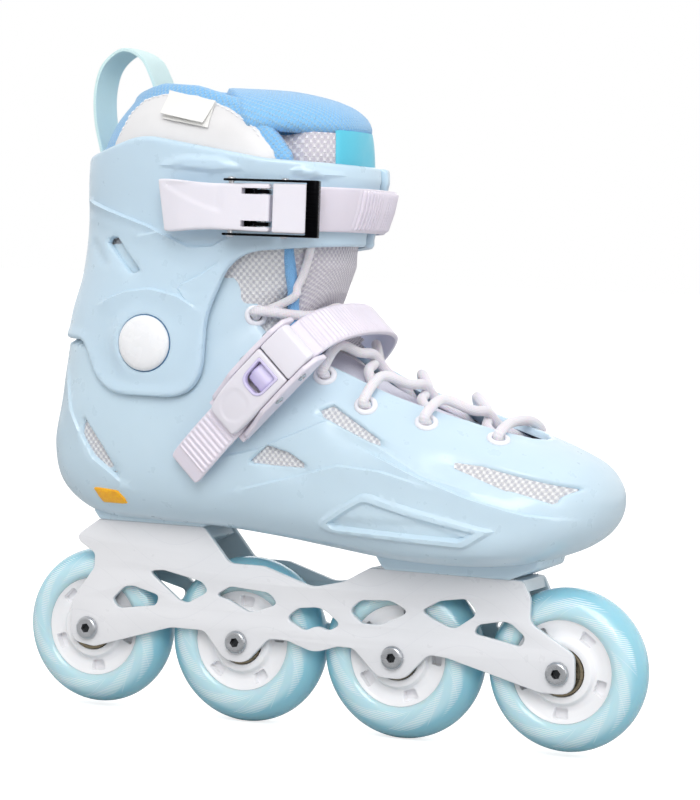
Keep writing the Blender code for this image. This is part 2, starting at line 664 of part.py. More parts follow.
def make_shell():
    shell = walled_loft("shell", section_rings(BOOT_SECTIONS, 0.0),
                        section_rings(BOOT_SECTIONS, -SHELL_WALL), True, "shell_blue")
    join(shell, prism("front_pedestal", [rounded((
        (31, 87.4, 0), (36, DECK_TOP[1] + GAP, 2), (96, DECK_TOP[1] + GAP, 3),
        (110, 87.4, 0)))], -21, 21))
    open_front(shell, "shell_throat", 0.0)
    cut(shell, above_split("shell_top", INNER_SPLIT - 0.6, 17.0))
    clear_cuff(shell, "shell")
    for number, outline in enumerate(VENTS):
        cut(shell, prism(f"vent_{number}", [outline], -90, 90))
    for number, (at, around) in enumerate(EYELETS):
        for side in (around, 2.0 - around):
            section = between(BOOT_SECTIONS, at)
            cut(shell, cylinder(f"eyelet_hole_{number}_{side}", EYELET_RADIUS,
                                on_section(section, side, -6), on_section(section, side, 6),
                                sides=10))
    for x in MOUNT_X:
        cut(shell, cylinder(f"shell_mount_hole_{x}", 3.4, (x, 0, 75), (x, 0, 104), sides=12))
    cut(shell, cylinder("shell_pivot_hole", PIVOT_BOLT_RADIUS + GAP, (PIVOT[0], -60, PIVOT[1]),
                        (PIVOT[0], 60, PIVOT[1]), sides=20))
    cut(shell, instep_screw_hole("shell_buckle_hole", -1), instep_screw_hole("shell_strap_hole", 1))
    return shell


def make_reflectors():
    """Thin lenses that follow the heel's curve, from one corner to the next."""
    for name, side in (("reflector_outer", -1), ("reflector_inner", 1)):
        rear_top, front_top, front_low, rear_low = REFLECTOR_CORNERS
        layers = []
        for offset in (0.8, 2.2):
            grid = []
            for k in range(4):
                t = k / 3
                top = [rear_top[n] + (front_top[n] - rear_top[n]) * t for n in (0, 1)]
                foot = [rear_low[n] + (front_low[n] - rear_low[n]) * t for n in (0, 1)]
                grid.append([lofted(BOOT_SECTIONS, *top, offset, side),
                             lofted(BOOT_SECTIONS, *foot, offset, side)])
            layers.append(grid)
        slab(name, layers[0], layers[1], "amber")


def lofted(sections, at, around, offset, side):
    """Point on a lofted surface, on the inner (+1) or outer (-1) side of the foot."""
    return on_section(between(sections, at), around if side > 0 else (2.0 - around) % 2.0, offset)


def slab(name, low, high, finish):
    """Closed plate between two grids of points with the same layout."""
    rows, columns = len(low), len(low[0])
    points = [p for row in low for p in row] + [p for row in high for p in row]
    second = rows * columns
    faces = []
    for i in range(rows - 1):
        for k in range(columns - 1):
            a = i * columns + k
            face = (a, a + 1, a + columns + 1, a + columns)
            faces += [face, tuple(n + second for n in reversed(face))]
    edge = ([k for k in range(columns)]
            + [i * columns + columns - 1 for i in range(1, rows)]
            + [(rows - 1) * columns + k for k in range(columns - 2, -1, -1)]
            + [i * columns for i in range(rows - 2, 0, -1)])
    for a, b in zip(edge, edge[1:] + edge[:1]):
        faces.append((a, b, b + second, a + second))
    return outward(add_object(name, mesh_from(name, points, faces), finish))


def make_cuff():
    cuff = loft("cuff", cuff_rings(0.0), "shell_blue")
    hollow = cuff_rings(-CUFF_WALL)
    below = [[p - Vector((0, 0, 10)) for p in hollow[0]]]
    above = [[p + Vector((0, 0, 10)) for p in hollow[-1]]]
    for side in (-1, 1):
        join(cuff, cylinder(f"cuff_boss_{side}", 17.0, (PIVOT[0], side * 43.2, PIVOT[1]),
                            (PIVOT[0], side * 46.4, PIVOT[1]), sides=32))
    cut(cuff, loft("cuff_hollow", below + hollow + above))
    outline = prism("cuff_outline", [rounded(CUFF_OUTLINE, 2)], -90, 90)
    boolean(cuff, outline, "INTERSECT")
    cut(cuff, box("cuff_slit", (-5, 4, 200), (60, 13, 300)))
    cut(cuff, prism("cuff_heel_vent", [((-106, 230), (-100, 232), (-85, 217), (-89, 215))],
                    -90, 90))
    for side in (-1, 1):
        cut(cuff, cylinder(f"cap_recess_{side}", CAP_RADIUS + GAP,
                           (PIVOT[0], side * 45.0, PIVOT[1]), (PIVOT[0], side * 60, PIVOT[1]),
                           sides=32))
    cut(cuff, cylinder("cuff_pivot_hole", PIVOT_BOLT_RADIUS + GAP, (PIVOT[0], -60, PIVOT[1]),
                       (PIVOT[0], 60, PIVOT[1]), sides=20))
    cut(cuff, top_anchor_hole("cuff_anchor_hole"))
    return cuff


def make_pivots():
    for name, side in (("outer", -1), ("inner", 1)):
        bolt = cylinder(f"pivot_bolt_{name}", PIVOT_BOLT_RADIUS, (PIVOT[0], side * 36.4, PIVOT[1]),
                        (PIVOT[0], side * 45.2, PIVOT[1]), "steel", 16)
        join(bolt, cylinder(f"pivot_flange_{name}", 8.0, (PIVOT[0], side * 35.6, PIVOT[1]),
                            (PIVOT[0], side * 37.0, PIVOT[1]), sides=16))
        turned(f"pivot_cap_{name}", [(0.0, 4.6), (6.0, 4.2), (10.5, 2.8), (CAP_RADIUS, 0.6),
                                     (CAP_RADIUS, 0.0), (0.0, 0.0)], 32,
               along_side(PIVOT[0], side * 45.6, PIVOT[1], side), "hub_white", closed=False)


def along_side(x, y, z, side):
    """Placement whose local Z points outwards along Y."""
    turn = Matrix.Rotation(-side * math.pi / 2, 4, "X")
    return Matrix.Translation(Vector((x, y, z)) * MM) @ turn


# ---------------------------------------------------------------- liner
def make_liner():
    outer_offset = -SHELL_WALL - LINER_GAP
    lower = walled_loft("liner_lower", section_rings(LINER_SECTIONS, outer_offset, 1),
                        section_rings(LINER_SECTIONS, outer_offset - LINER_WALL, 1),
                        True, "liner_pearl")
    open_front(lower, "liner_throat", 17.0)
    cut(lower, above_split("liner_top", INNER_SPLIT, 15.5))
    clear_cuff(lower, "liner")
    for x, seat in zip(MOUNT_X, BOLT_SEAT):
        cut(lower, cylinder(f"liner_bolt_pocket_{x}", 7.4, (x, 0, seat - 6), (x, 0, seat + 3.1),
                            sides=16))
    for side in (-1, 1):
        cut(lower, cylinder(f"liner_pivot_pocket_{side}", 9.0, (PIVOT[0], side * 35.0, PIVOT[1]),
                            (PIVOT[0], side * 60, PIVOT[1]), sides=20))
    upper = walled_loft("liner_upper", section_rings(COLLAR_SECTIONS, 0.0),
                        section_rings(COLLAR_SECTIONS, -5.5), False, "liner_pearl")
    cut(upper, about_pivot(OUTER_SPLIT, "collar_disc"), wedge("collar_front", -80.0, 30.0))
    cut(upper, box("collar_slot", (-18, -60, 190), (60, 60, 320)))
    return lower, upper


def make_tongue():
    columns = [k / 4.0 - 1.0 for k in range(9)]
    layers = [[[lofted(BOOT_SECTIONS, at, abs(c) * spread, offset, 1 if c >= 0 else -1)
                for c in columns] for at, spread in TONGUE_STOPS] for offset in (-14.2, -10.2)]
    lower = slab("tongue_lower", layers[0], layers[1], "mesh_grey")
    upper = walled_loft("tongue_upper", section_rings(COLLAR_SECTIONS, -0.4),
                        section_rings(COLLAR_SECTIONS, -6.0), False, "mesh_blue")
    boolean(upper, box("tongue_slot", (-16.6, -60, 190), (60, 60, 320)), "INTERSECT")
    cut(upper, wedge("tongue_low", -80.0, 27.0))
    return lower, upper


def liner_inside(x):
    """Floor height of the liner at one station, and its half width and centre just above."""
    offset = -SHELL_WALL - LINER_GAP - LINER_WALL - 0.6
    spots = []
    for stop in np.arange(2.0, 15.0, 0.05):
        section = between(LINER_SECTIONS, stop)
        for around in np.arange(0.5, 1.001, 0.02):
            spot = on_section(section, around, offset)
            if abs(spot.x - x) < 1.5:
                spots.append((spot.z, spot.y - section[8], section[8]))
    floor = min(spots)[0] + INSOLE_LIFT
    if x < HEEL_LEVEL_END:
        floor = HEEL_FLOOR
    half = min(spot[1] for spot in spots if abs(spot[0] - floor) < 0.8) - 2.0
    return floor, (half, spots[0][2])


def make_insole():
    points = []
    for x in INSOLE_STATIONS:
        floor, (half, centre) = liner_inside(x)
        for y, z in ((-half, floor), (half, floor), (half, floor + INSOLE_THICKNESS),
                     (-half, floor + INSOLE_THICKNESS)):
            points.append((x, centre + y, z))
    faces = loft_faces(len(INSOLE_STATIONS), 4, 0, False)
    faces += [(3, 2, 1, 0), tuple(range(len(points) - 4, len(points)))]
    return outward(add_object("insole", mesh_from("insole", points, faces), "foam_grey"))


def make_pull_loop():
    route = curve_through([(-124.8, 0, 275), (-130, 0, 290), (-131, 0, 308), (-127, 0, 319),
                           (-115, 0, 324), (-105, 0, 320), (-98, 0, 306.5)], 2)
    return band("pull_loop", route, (0, 1, 0), 22.0, 1.6, "loop_mint")


# ---------------------------------------------------------------- top buckle
def top_place():
    return Matrix.Translation(Vector(TOP_ORIGIN) * MM) @ Matrix.Rotation(TOP_TURN, 4, "Z")


def top_prism(name, outline, low, high, finish=None):
    """Prism along Z in the top buckle's frame: x forward along the cuff, -y outwards."""
    return prism(name, [outline], low, high, finish, "XY", top_place())


def top_pin(name, radius, x, y, reach, finish=None, sides=12):
    place = top_place()
    ends = [place @ Vector((x * MM, y * MM, z * MM)) / MM for z in (-reach, reach)]
    return cylinder(name, radius, *ends, finish, sides)


def make_top_buckle():
    base = top_prism("top_buckle_base", [(-18, 3.6), (-4.6, 3.6), (-4.6, 5.6), (-18, 5.6)],
                     -9.0, 9.0, "black_steel")
    for side in (-1, 1):
        ends = sorted((side * 6.6, side * 8.4))
        lug = top_prism(f"top_lug_{side}", rounded(((-7, 4.4, 0), (-4, -2.6, 3), (2.8, -2.6, 3),
                                                    (2.4, 4.4, 0)), 2), *ends)
        join(base, lug)
    cut(base, top_pin("top_lug_hole", 1.5 + GAP, 0, 0, 20))
    lever = top_prism("top_buckle_lever", rounded((
        (-49, 5.0, 2), (-50, 2.2, 2), (-42, -1.2, 12), (-22, -4.7, 20), (-8, -4.2, 10),
        (4.3, -4.2, 2.5), (4.3, 2.6, 2.5), (-4, 2.6, 2), (-12, 0.6, 6), (-32, 1.0, 12)), 2),
        -11.5, 11.5, "white_plastic")
    for side in (-1, 1):
        ends = sorted((side * 6.1, side * 8.9))
        cut(lever, top_prism(f"lever_slot_{side}", [(-9.5, -9), (7, -9), (7, 9), (-9.5, 9)], *ends))
    cut(lever, top_pin("lever_hole", 1.5 + GAP, 0, 0, 20),
        top_pin("lever_bail_hole", 1.3 + GAP, *BAIL_PIN, 20))
    top_pin("top_buckle_pin", 1.5, 0, 0, 11.0, "steel")
    top_pin("bail_pin", 1.3, *BAIL_PIN, 13.6, "steel")
    bail = top_prism("top_buckle_bail", rounded((
        (-18, -4.6, 2), (27, -4.6, 2), (27, 1.0, 2), (15, 1.0, 3), (-18, 0.0, 2)), 2),
        -13.1, 13.1, "black_steel")
    cut(bail, top_prism("bail_gap", [(-30, -9), (21.6, -9), (21.6, 9), (-30, 9)], -12.0, 12.0),
        top_pin("bail_hole", 1.3 + GAP, *BAIL_PIN, 20))
    top_prism("top_strap_block", rounded(((5.2, -4.4, 1), (21.1, -4.4, 1), (21.1, 0.6, 1),
                                          (5.2, 0.2, 1)), 2), -11.4, 11.4, "white_plastic")
    return bail


def wrap(name, sections, low, high, stops, finish):
    """Strap over a lofted surface: stops are (place around, offset of its inner face)."""
    points = []
    for around, offset in stops:
        for at, out in ((low, offset), (high, offset), (high, offset + STRAP_THICKNESS),
                        (low, offset + STRAP_THICKNESS)):
            points.append(on_section(between(sections, at), around % 2.0, out))
    faces = loft_faces(len(stops), 4, 0, False)
    faces += [(3, 2, 1, 0), tuple(range(len(points) - 4, len(points)))]
    return outward(add_object(name, mesh_from(name, points, faces), finish))


def make_top_strap():
    stops = [(-0.34, 2.0), (-0.30, 2.4), (-0.26, 2.6), (-0.22, 2.4), (-0.18, 1.8), (-0.14, 1.4)]
    stops += [(-0.10 + 0.04 * k, 1.2) for k in range(14)]
    strap = wrap("top_strap", CUFF_SECTIONS, TOP_STRAP_SPAN[0], TOP_STRAP_SPAN[1], stops,
                 "white_plastic")
    cut(strap, top_anchor_hole("strap_anchor_hole"))
    start, end = top_anchor_line(-3.3, 3.2 + STRAP_THICKNESS)
    screw = cylinder("top_strap_screw", 2.4, start, end, "steel", 12)
    head_start, head_end = top_anchor_line(2.9 + STRAP_THICKNESS, 4.9 + STRAP_THICKNESS)
    join(screw, cylinder("top_strap_screw_head", 5.0, head_start, head_end, sides=16))
    return strap


def top_anchor_line(low, high):
    section = between(CUFF_SECTIONS, sum(TOP_STRAP_SPAN) / 2)
    base = on_section(section, TOP_ANCHOR, 0.0)
    way = (on_section(section, TOP_ANCHOR, 1.0) - base).normalized()
    return base + way * low, base + way * high


def top_anchor_hole(name):
    return cylinder(name, 2.4 + GAP, *top_anchor_line(-12, 14), sides=12)


# ---------------------------------------------------------------- instep buckle
def instep_place():
    """Frame of the instep buckle: x up along the strap, -y outwards, z across the strap."""
    along = Vector((math.cos(INSTEP_SLOPE), 0, math.sin(INSTEP_SLOPE)))
    out = Vector((0, 1, 0))
    across = along.cross(out)
    turn = Matrix((along, out, across)).transposed().to_4x4()
    return Matrix.Translation(Vector((INSTEP_ORIGIN[0], 0, INSTEP_ORIGIN[1])) * MM) @ turn


def instep_point(along, y, across=0.0):
    return instep_place() @ (Vector((along, y, across)) * MM) / MM


def instep_prism(name, outline, low, high, finish=None):
    return prism(name, [outline], low, high, finish, "XY", instep_place())


def instep_pin(name, radius, along, y, reach, finish=None):
    return cylinder(name, radius, instep_point(along, y, -reach), instep_point(along, y, reach),
                    finish, 12)


def instep_screw_hole(name, side):
    along, low, high = (INSTEP_SCREW, -60, -30) if side < 0 else (INSTEP_ANCHOR, 30, 60)
    return cylinder(name, 2.4 + GAP, instep_point(along, low), instep_point(along, high), sides=12)


def make_instep_buckle():
    base = instep_prism("instep_buckle_base", rounded((
        (-29, -47, 1), (-29, -49.2, 0), (21, -49.2, 0), (21, -47, 1)), 1), -12.6, 12.6,
        "white_plastic")
    for side in (-1, 1):
        ends = sorted((side * 10.6, side * 13.0))
        join(base, instep_prism(f"buckle_wall_{side}", rounded((
            (-27, -47.4, 1), (-24, -53, 4), (-10, -58, 8), (6, -59, 8), (24, -57.5, 4),
            (29, -47.4, 1)), 1), *ends))
    join(base, cylinder("buckle_foot", 7.0, instep_point(INSTEP_SCREW, -41.9),
                        instep_point(INSTEP_SCREW, -48.0), sides=16))
    cut(base, cylinder("buckle_screw_hole", 2.4 + GAP, instep_point(INSTEP_SCREW, -38),
                       instep_point(INSTEP_SCREW, -60), sides=12))
    cut(base, cylinder("buckle_screw_recess", 4.6, instep_point(INSTEP_SCREW, -47.6),
                       instep_point(INSTEP_SCREW, -52), sides=16))
    cut(base, instep_pin("buckle_lever_hole", 1.6 + GAP, *INSTEP_LEVER_PIN, 20),
        instep_pin("buckle_pawl_hole", 1.6 + GAP, *INSTEP_PAWL_PIN, 20))
    screw = cylinder("instep_buckle_screw", 2.4, instep_point(INSTEP_SCREW, -39.5),
                     instep_point(INSTEP_SCREW, -48.4), "steel", 12)
    join(screw, cylinder("buckle_screw_head", 4.2, instep_point(INSTEP_SCREW, -47.95),
                         instep_point(INSTEP_SCREW, -49.3), sides=16))
    lever = instep_prism("instep_lever", rounded((
        (-27, -53.2, 1), (-28, -55.5, 1.5), (-14, -59.2, 8), (0, -59.9, 8), (10.6, -59.6, 1),
        (10.6, -57.8, 0.8), (4.6, -57.4, 1), (3.6, -54, 2), (-2, -53.6, 2), (-10, -54.6, 5)), 1),
        -10.2, 10.2, "white_plastic")
    cut(lever, instep_prism("lever_window", rounded((
        (-5.5, -70, 1), (-5.5, -40, 1), (8, -40, 1), (8, -70, 1)), 1), -6.6, 6.6))
    cut(lever, instep_pin("lever_pin_hole", 1.6 + GAP, *INSTEP_LEVER_PIN, 20))
    pawl = instep_prism("instep_pawl", rounded((
        (11.4, -53.6, 1), (11.4, -58.6, 1.5), (26, -58.0, 1.5), (27.5, -54, 1), (20, -53.0, 1)),
        2), -10.2, 10.2, "white_plastic")
    cut(pawl, instep_pin("pawl_pin_hole", 1.6 + GAP, *INSTEP_PAWL_PIN, 20))
    instep_pin("instep_lever_pin", 1.6, *INSTEP_LEVER_PIN, 13.4, "steel")
    instep_pin("instep_pawl_pin", 1.6, *INSTEP_PAWL_PIN, 13.4, "steel")
    return base


def make_instep_strap():
    flat = curve_through([(p, y, 0) for p, y in INSTEP_PATH], 2)
    route = [instep_point(p.x, p.y) for p in flat]
    across = instep_place().to_3x3() @ Vector((0, 0, 1))
    strap = band("instep_strap", route, across, INSTEP_WIDTH, STRAP_THICKNESS, "white_plastic")
    cut(strap, instep_screw_hole("strap_end_hole", 1))
    screw = cylinder("instep_strap_screw", 2.4, instep_point(INSTEP_ANCHOR, 36.0),
                     instep_point(INSTEP_ANCHOR, 45.2), "steel", 12)
    join(screw, cylinder("strap_screw_head", 5.0, instep_point(INSTEP_ANCHOR, 44.4),
                         instep_point(INSTEP_ANCHOR, 46.2), sides=16))
    return strap


# ---------------------------------------------------------------- lace
def lace_point(at, around, offset, side):
    place = around if side > 0 else 2.0 - around
    return on_section(between(BOOT_SECTIONS, at), place, offset)


def lace_cross(upper, lower, side, over):
    """Strand out of the upper eyelet on one side, over the tongue, under the other flap."""
    (at_up, around_up), (at_low, around_low) = upper, lower
    middle = -0.6 if over else -5.6
    mean = (at_up + at_low) / 2
    drift = (at_up - at_low) / 10
    return [
        lace_point(at_up, around_up, 0.0, side),
        lace_point(at_up, around_up, 4.6, side),
        lace_point(at_up - drift, around_up * 0.58, 5.9, side),
        lace_point(mean + drift, around_up * 0.30, middle * 0.5 + 1.0, side),
        lace_point(mean, 0.0, middle, side),
        lace_point(mean - drift, around_low * 0.30, min(middle, -4.8), -side),
        lace_point(at_low + drift, around_low * 0.60, -5.9, -side),
        lace_point(at_low, around_low, -5.7, -side),
    ]


def lace_route():
    """The whole lace, from the tail on the outer side down to the toe and back up."""
    def half(side):
        top = EYELETS[-1]
        points = [lace_point(top[0] + 0.75, top[1] * 0.80, -5.9, side),
                  lace_point(top[0] + 0.3, top[1] * 0.95, -5.9, side),
                  lace_point(top[0], top[1], -5.6, side)]
        for step in range(len(EYELETS) - 1, 0, -1):
            points += lace_cross(EYELETS[step], EYELETS[step - 1], side, side < 0)
            side = -side
        return points, side
    first, end_side = half(-1)
    second, _ = half(1)
    at, around = EYELETS[0]
    bar = [lace_point(at, around, 0.0, end_side), lace_point(at, around, 2.8, end_side),
           lace_point(at, around * 0.5, 2.6, end_side), lace_point(at, 0.0, 2.2, end_side),
           lace_point(at, around * 0.5, 2.6, -end_side), lace_point(at, around, 2.8, -end_side),
           lace_point(at, around, 0.0, -end_side)]
    return first + bar + second[::-1]


def make_lace():
    return tube("lace", lace_route(), LACE_RADIUS, "lace_white")


# ---------------------------------------------------------------- the skate
def make_skate():
    for number, (x, radius) in enumerate(zip(WHEEL_X, WHEEL_RADIUS), 1):
        make_wheel(number, x, radius)
    make_frame()
    make_mount_bolts()
    make_shell()
    make_reflectors()
    make_cuff()
    make_pivots()
    make_liner()
    make_tongue()
    make_insole()
    make_pull_loop()
    make_top_buckle()
    make_top_strap()
    make_instep_buckle()
    make_instep_strap()
    make_lace()
    for obj in SKATE.objects:
        smooth(obj)


clear_scene()
SKATE = new_collection("inline_skate")
CUTTERS = new_collection("cutters")
make_skate()
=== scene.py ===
"""Looks of the inline skate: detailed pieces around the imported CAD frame.

Lengths are in millimetres here and become metres when a mesh is made. +X is the toe, +Z up,
-Y the outer side of the foot, where the buckles are.
"""
import math

import bmesh
import bpy
import numpy as np
from mathutils import Matrix, Vector


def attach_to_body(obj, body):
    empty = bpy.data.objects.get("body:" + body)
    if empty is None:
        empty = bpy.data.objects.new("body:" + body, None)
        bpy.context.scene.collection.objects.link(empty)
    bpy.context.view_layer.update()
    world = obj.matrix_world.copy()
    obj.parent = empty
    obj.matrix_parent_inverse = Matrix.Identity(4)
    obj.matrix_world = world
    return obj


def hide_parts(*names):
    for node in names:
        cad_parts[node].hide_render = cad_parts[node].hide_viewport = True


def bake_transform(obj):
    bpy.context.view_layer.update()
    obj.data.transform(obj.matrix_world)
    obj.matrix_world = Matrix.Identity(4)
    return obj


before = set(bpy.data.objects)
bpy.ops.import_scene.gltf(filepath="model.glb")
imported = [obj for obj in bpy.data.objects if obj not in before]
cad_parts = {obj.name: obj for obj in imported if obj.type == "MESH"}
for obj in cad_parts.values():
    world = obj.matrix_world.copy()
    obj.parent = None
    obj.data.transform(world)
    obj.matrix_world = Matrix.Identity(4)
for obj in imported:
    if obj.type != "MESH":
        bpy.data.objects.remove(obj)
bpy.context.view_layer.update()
MM = 0.001
UV_SCALE = 0.1                               # flat maps are in cm
MERGE = 1e-7                                 # metres; corners closer than this are one
MOULDING_SHARP = 35.0                        # degrees; flatter edges are shaded smooth
FAR = 40.0                                   # a distance that counts as far off

# ---------------------------------------------------------------- dimensions shared with the CAD
WHEEL_X = (-121.5, -40.5, 40.5, 121.5)
WHEEL_RADIUS = (38.0, 40.0, 40.0, 38.0)
AXLE_Z = 40.0
PIVOT = (-80.0, 182.0)
SHELL_WALL = 3.0
CUFF_WALL = 3.2
INNER_SPLIT = 63.0
STRAP_THICKNESS = 2.4
# Sections: top or front point (x, z), bottom or rear point (x, z), half width, roundness of
# the upper and lower half, where along it the widest point lies, shift to the inner side.
BOOT = (
    (139.5, 120.5, 139.5, 114.0, 8.0, 2.0, 2.0, 0.50, 7.5),
    (138.0, 125.5, 138.0, 109.0, 18.0, 2.0, 2.2, 0.50, 7.0),
    (135.0, 130.5, 135.0, 104.0, 27.0, 2.1, 2.4, 0.52, 6.5),
    (129.0, 136.0, 129.0, 98.5, 37.0, 2.2, 2.6, 0.55, 6.0),
    (119.0, 141.0, 119.0, 93.0, 45.5, 2.2, 3.0, 0.58, 5.0),
    (105.0, 146.5, 105.0, 88.5, 50.5, 2.2, 3.4, 0.60, 4.0),
    (85.0, 152.5, 85.0, 86.0, 52.5, 2.2, 3.6, 0.62, 3.0),
    (60.0, 161.0, 60.0, 85.5, 52.0, 2.1, 3.6, 0.62, 2.0),
    (35.0, 170.5, 35.0, 86.5, 49.0, 2.1, 3.4, 0.60, 1.0),
    (10.0, 184.5, 8.0, 89.0, 45.5, 2.1, 3.2, 0.57, 0.5),
    (-6.0, 193.0, -20.0, 92.0, 43.0, 2.1, 3.2, 0.54, 0.0),
    (-11.0, 199.0, -52.0, 94.3, 41.8, 2.2, 3.2, 0.52, 0.0),
    (-14.0, 203.0, -86.0, 94.3, 41.5, 2.3, 3.0, 0.52, 0.0),
    (-15.0, 206.0, -117.0, 96.0, 41.5, 2.4, 2.8, 0.52, 0.0),
    (-15.0, 209.0, -138.0, 108.0, 41.5, 2.5, 2.6, 0.52, 0.0),
    (-14.0, 212.0, -144.5, 127.0, 41.5, 2.6, 2.5, 0.52, 0.0),
    (-13.0, 216.0, -142.0, 150.0, 41.5, 2.6, 2.4, 0.52, 0.0),
    (-12.0, 220.0, -139.0, 175.0, 41.5, 2.6, 2.4, 0.52, 0.0),
    (-9.0, 226.0, -136.0, 200.0, 41.5, 2.6, 2.4, 0.52, 0.0),
    (-4.0, 236.0, -130.0, 226.0, 42.0, 2.6, 2.4, 0.52, 0.0),
)
CUFF = (
    (-8.0, 146.0, -140.5, 146.0, 45.4, 2.6, 2.4, 0.50, 0.0),
    (-6.0, 165.0, -140.5, 165.0, 45.5, 2.6, 2.4, 0.50, 0.0),
    (-4.0, 182.0, -139.5, 181.0, 45.6, 2.6, 2.4, 0.50, 0.0),
    (-1.0, 199.0, -137.0, 196.0, 45.8, 2.6, 2.4, 0.50, 0.0),
    (3.5, 216.0, -132.5, 211.0, 46.2, 2.6, 2.4, 0.50, 0.0),
    (10.0, 231.0, -130.3, 226.0, 46.8, 2.6, 2.4, 0.49, 0.0),
    (15.5, 245.0, -129.7, 241.0, 47.8, 2.6, 2.4, 0.48, 0.0),
    (18.0, 258.0, -130.2, 255.0, 49.0, 2.6, 2.4, 0.48, 0.0),
    (17.0, 271.0, -129.5, 269.0, 50.2, 2.6, 2.4, 0.48, 0.0),
    (15.5, 284.0, -127.0, 284.0, 51.5, 2.6, 2.4, 0.48, 0.0),
)
COLLAR = (
    (-4.0, 182.0, -135.7, 181.0, 41.7, 2.6, 2.4, 0.50, 0.0),
    (-1.0, 199.0, -133.2, 196.0, 41.8, 2.6, 2.4, 0.50, 0.0),
    (1.5, 216.0, -128.7, 211.0, 42.2, 2.6, 2.4, 0.50, 0.0),
    (5.0, 231.0, -126.5, 226.0, 42.8, 2.6, 2.4, 0.49, 0.0),
    (10.0, 245.0, -125.8, 241.0, 43.8, 2.6, 2.4, 0.48, 0.0),
    (12.5, 258.0, -126.2, 255.0, 45.0, 2.6, 2.4, 0.48, 0.0),
    (12.0, 271.0, -124.0, 269.0, 45.4, 2.6, 2.4, 0.48, 0.0),
    (11.0, 284.0, -117.0, 286.0, 43.0, 2.5, 2.4, 0.48, 0.0),
    (7.5, 298.0, -104.0, 302.0, 37.0, 2.4, 2.4, 0.48, 0.0),
)
CUFF_OUTLINE = (
    (-160, 182, 0), (-118, 182, 8), (-104, 157, 24), (-51, 157, 24), (-49, 196, 40),
    (-36, 226, 26), (6, 230, 30), (40, 235, 0), (40, 268, 0), (-20, 270, 60),
    (-84, 280, 40), (-112, 272.5, 14), (-128, 269, 10), (-136, 261, 6), (-160, 259, 0),
)
THROAT = ((107, 4), (103, 10.6), (90, 16.2), (60, 21), (30, 24), (5, 27), (-12, 30), (-40, 30))
VENTS = (
    ((78, 135, 0), (90, 135, 4), (133, 126, 0.5), (126, 122.5, 3), (125, 118.5, 1.5),
     (109, 124, 14)),
    ((15, 158, 0.5), (7, 154, 1), (37, 142, 2), (47, 140, 0.5)),
    ((-16, 137.5, 1), (-26, 128.5, 1), (7, 128, 1), (-4, 134.5, 6)),
    ((-116.5, 146, 0.5), (-117, 136, 3), (-110, 126.5, 6), (-96, 117, 0.5), (-104.5, 131, 8)),
)
EYELETS = ((5.7, 0.165), (7.05, 0.213), (8.2, 0.255), (9.1, 0.245), (14.0, 0.240))


# ---------------------------------------------------------------- outlines and distances
def rounded(corners, steps=6):
    """Points of a closed outline whose corners (x, z, radius) are rounded by arcs."""
    points = []
    count = len(corners)
    for i, (x, z, radius) in enumerate(corners):
        here = Vector((x, z))
        back = Vector(corners[i - 1][:2]) - here
        ahead = Vector(corners[(i + 1) % count][:2]) - here
        if radius <= 0:
            points.append(here)
            continue
        turn = back.angle(ahead)
        reach = radius / math.tan(turn / 2)
        reach = min(reach, 0.48 * back.length, 0.48 * ahead.length)
        start, end = here + back.normalized() * reach, here + ahead.normalized() * reach
        for k in range(steps + 1):
            t = k / steps
            points.append(start * (1 - t) ** 2 + here * 2 * t * (1 - t) + end * t * t)
    return np.array([tuple(p) for p in points])


def signed(points, outline):
    """Distance of 2-D points to a closed outline, negative inside."""
    outline = np.asarray(outline, float)
    best = np.full(len(points), 1e9)
    inside = np.zeros(len(points), bool)
    for a, b in zip(outline, np.roll(outline, -1, axis=0)):
        way = b - a
        length = float(way @ way)
        if length < 1e-12:
            continue
        t = np.clip(((points - a) @ way) / length, 0, 1)
        best = np.minimum(best, np.hypot(*(points - a - t[:, None] * way).T))
        crosses = (a[1] > points[:, 1]) != (b[1] > points[:, 1])
        with np.errstate(divide="ignore", invalid="ignore"):
            at = a[0] + (points[:, 1] - a[1]) * way[0] / (way[1] if way[1] else 1e-9)
        inside ^= crosses & (points[:, 0] < at)
    return np.where(inside, -best, best)


def along_line(points, line):
    """Signed distance to an open line (positive on its left) and place along it, 0 to 1."""
    line = np.asarray(line, float)
    lengths = np.hypot(*np.diff(line, axis=0).T)
    total, done = lengths.sum(), 0.0
    best = np.full(len(points), 1e9)
    side = np.ones(len(points))
    place = np.zeros(len(points))
    for a, b, length in zip(line[:-1], line[1:], lengths):
        way = (b - a) / length
        t = np.clip((points - a) @ way, 0, length)
        off = points - a - t[:, None] * way
        far = np.hypot(*off.T)
        left = way[0] * (points[:, 1] - a[1]) - way[1] * (points[:, 0] - a[0])
        nearer = far < best
        best = np.where(nearer, far, best)
        side = np.where(nearer, np.where(left >= 0, 1.0, -1.0), side)
        place = np.where(nearer, (done + t) / total, place)
        done += length
    return best * side, place


def smooth_step(value, low, high):
    t = np.clip((value - low) / (high - low), 0.0, 1.0)
    return t * t * (3 - 2 * t)


def lengths_along(points):
    """Distance of each point from the first, along the line they make."""
    return np.concatenate([[0.0], np.cumsum(np.linalg.norm(np.diff(points, axis=0), axis=1))])


# ---------------------------------------------------------------- lofted surfaces
def between(table, at):
    table = np.asarray(table, float)
    at = np.clip(np.asarray(at, float), 0, len(table) - 1)
    padded = np.vstack([2 * table[0] - table[1], table, 2 * table[-1] - table[-2]])
    i = np.minimum(at.astype(int), len(table) - 2)
    t = (at - i)[:, None]
    p0, p1, p2, p3 = padded[i], padded[i + 1], padded[i + 2], padded[i + 3]
    return 0.5 * (2 * p1 + (p2 - p0) * t + (2 * p0 - 5 * p1 + 4 * p2 - p3) * t ** 2
                  + (3 * p1 - p0 - 3 * p2 + p3) * t ** 3)


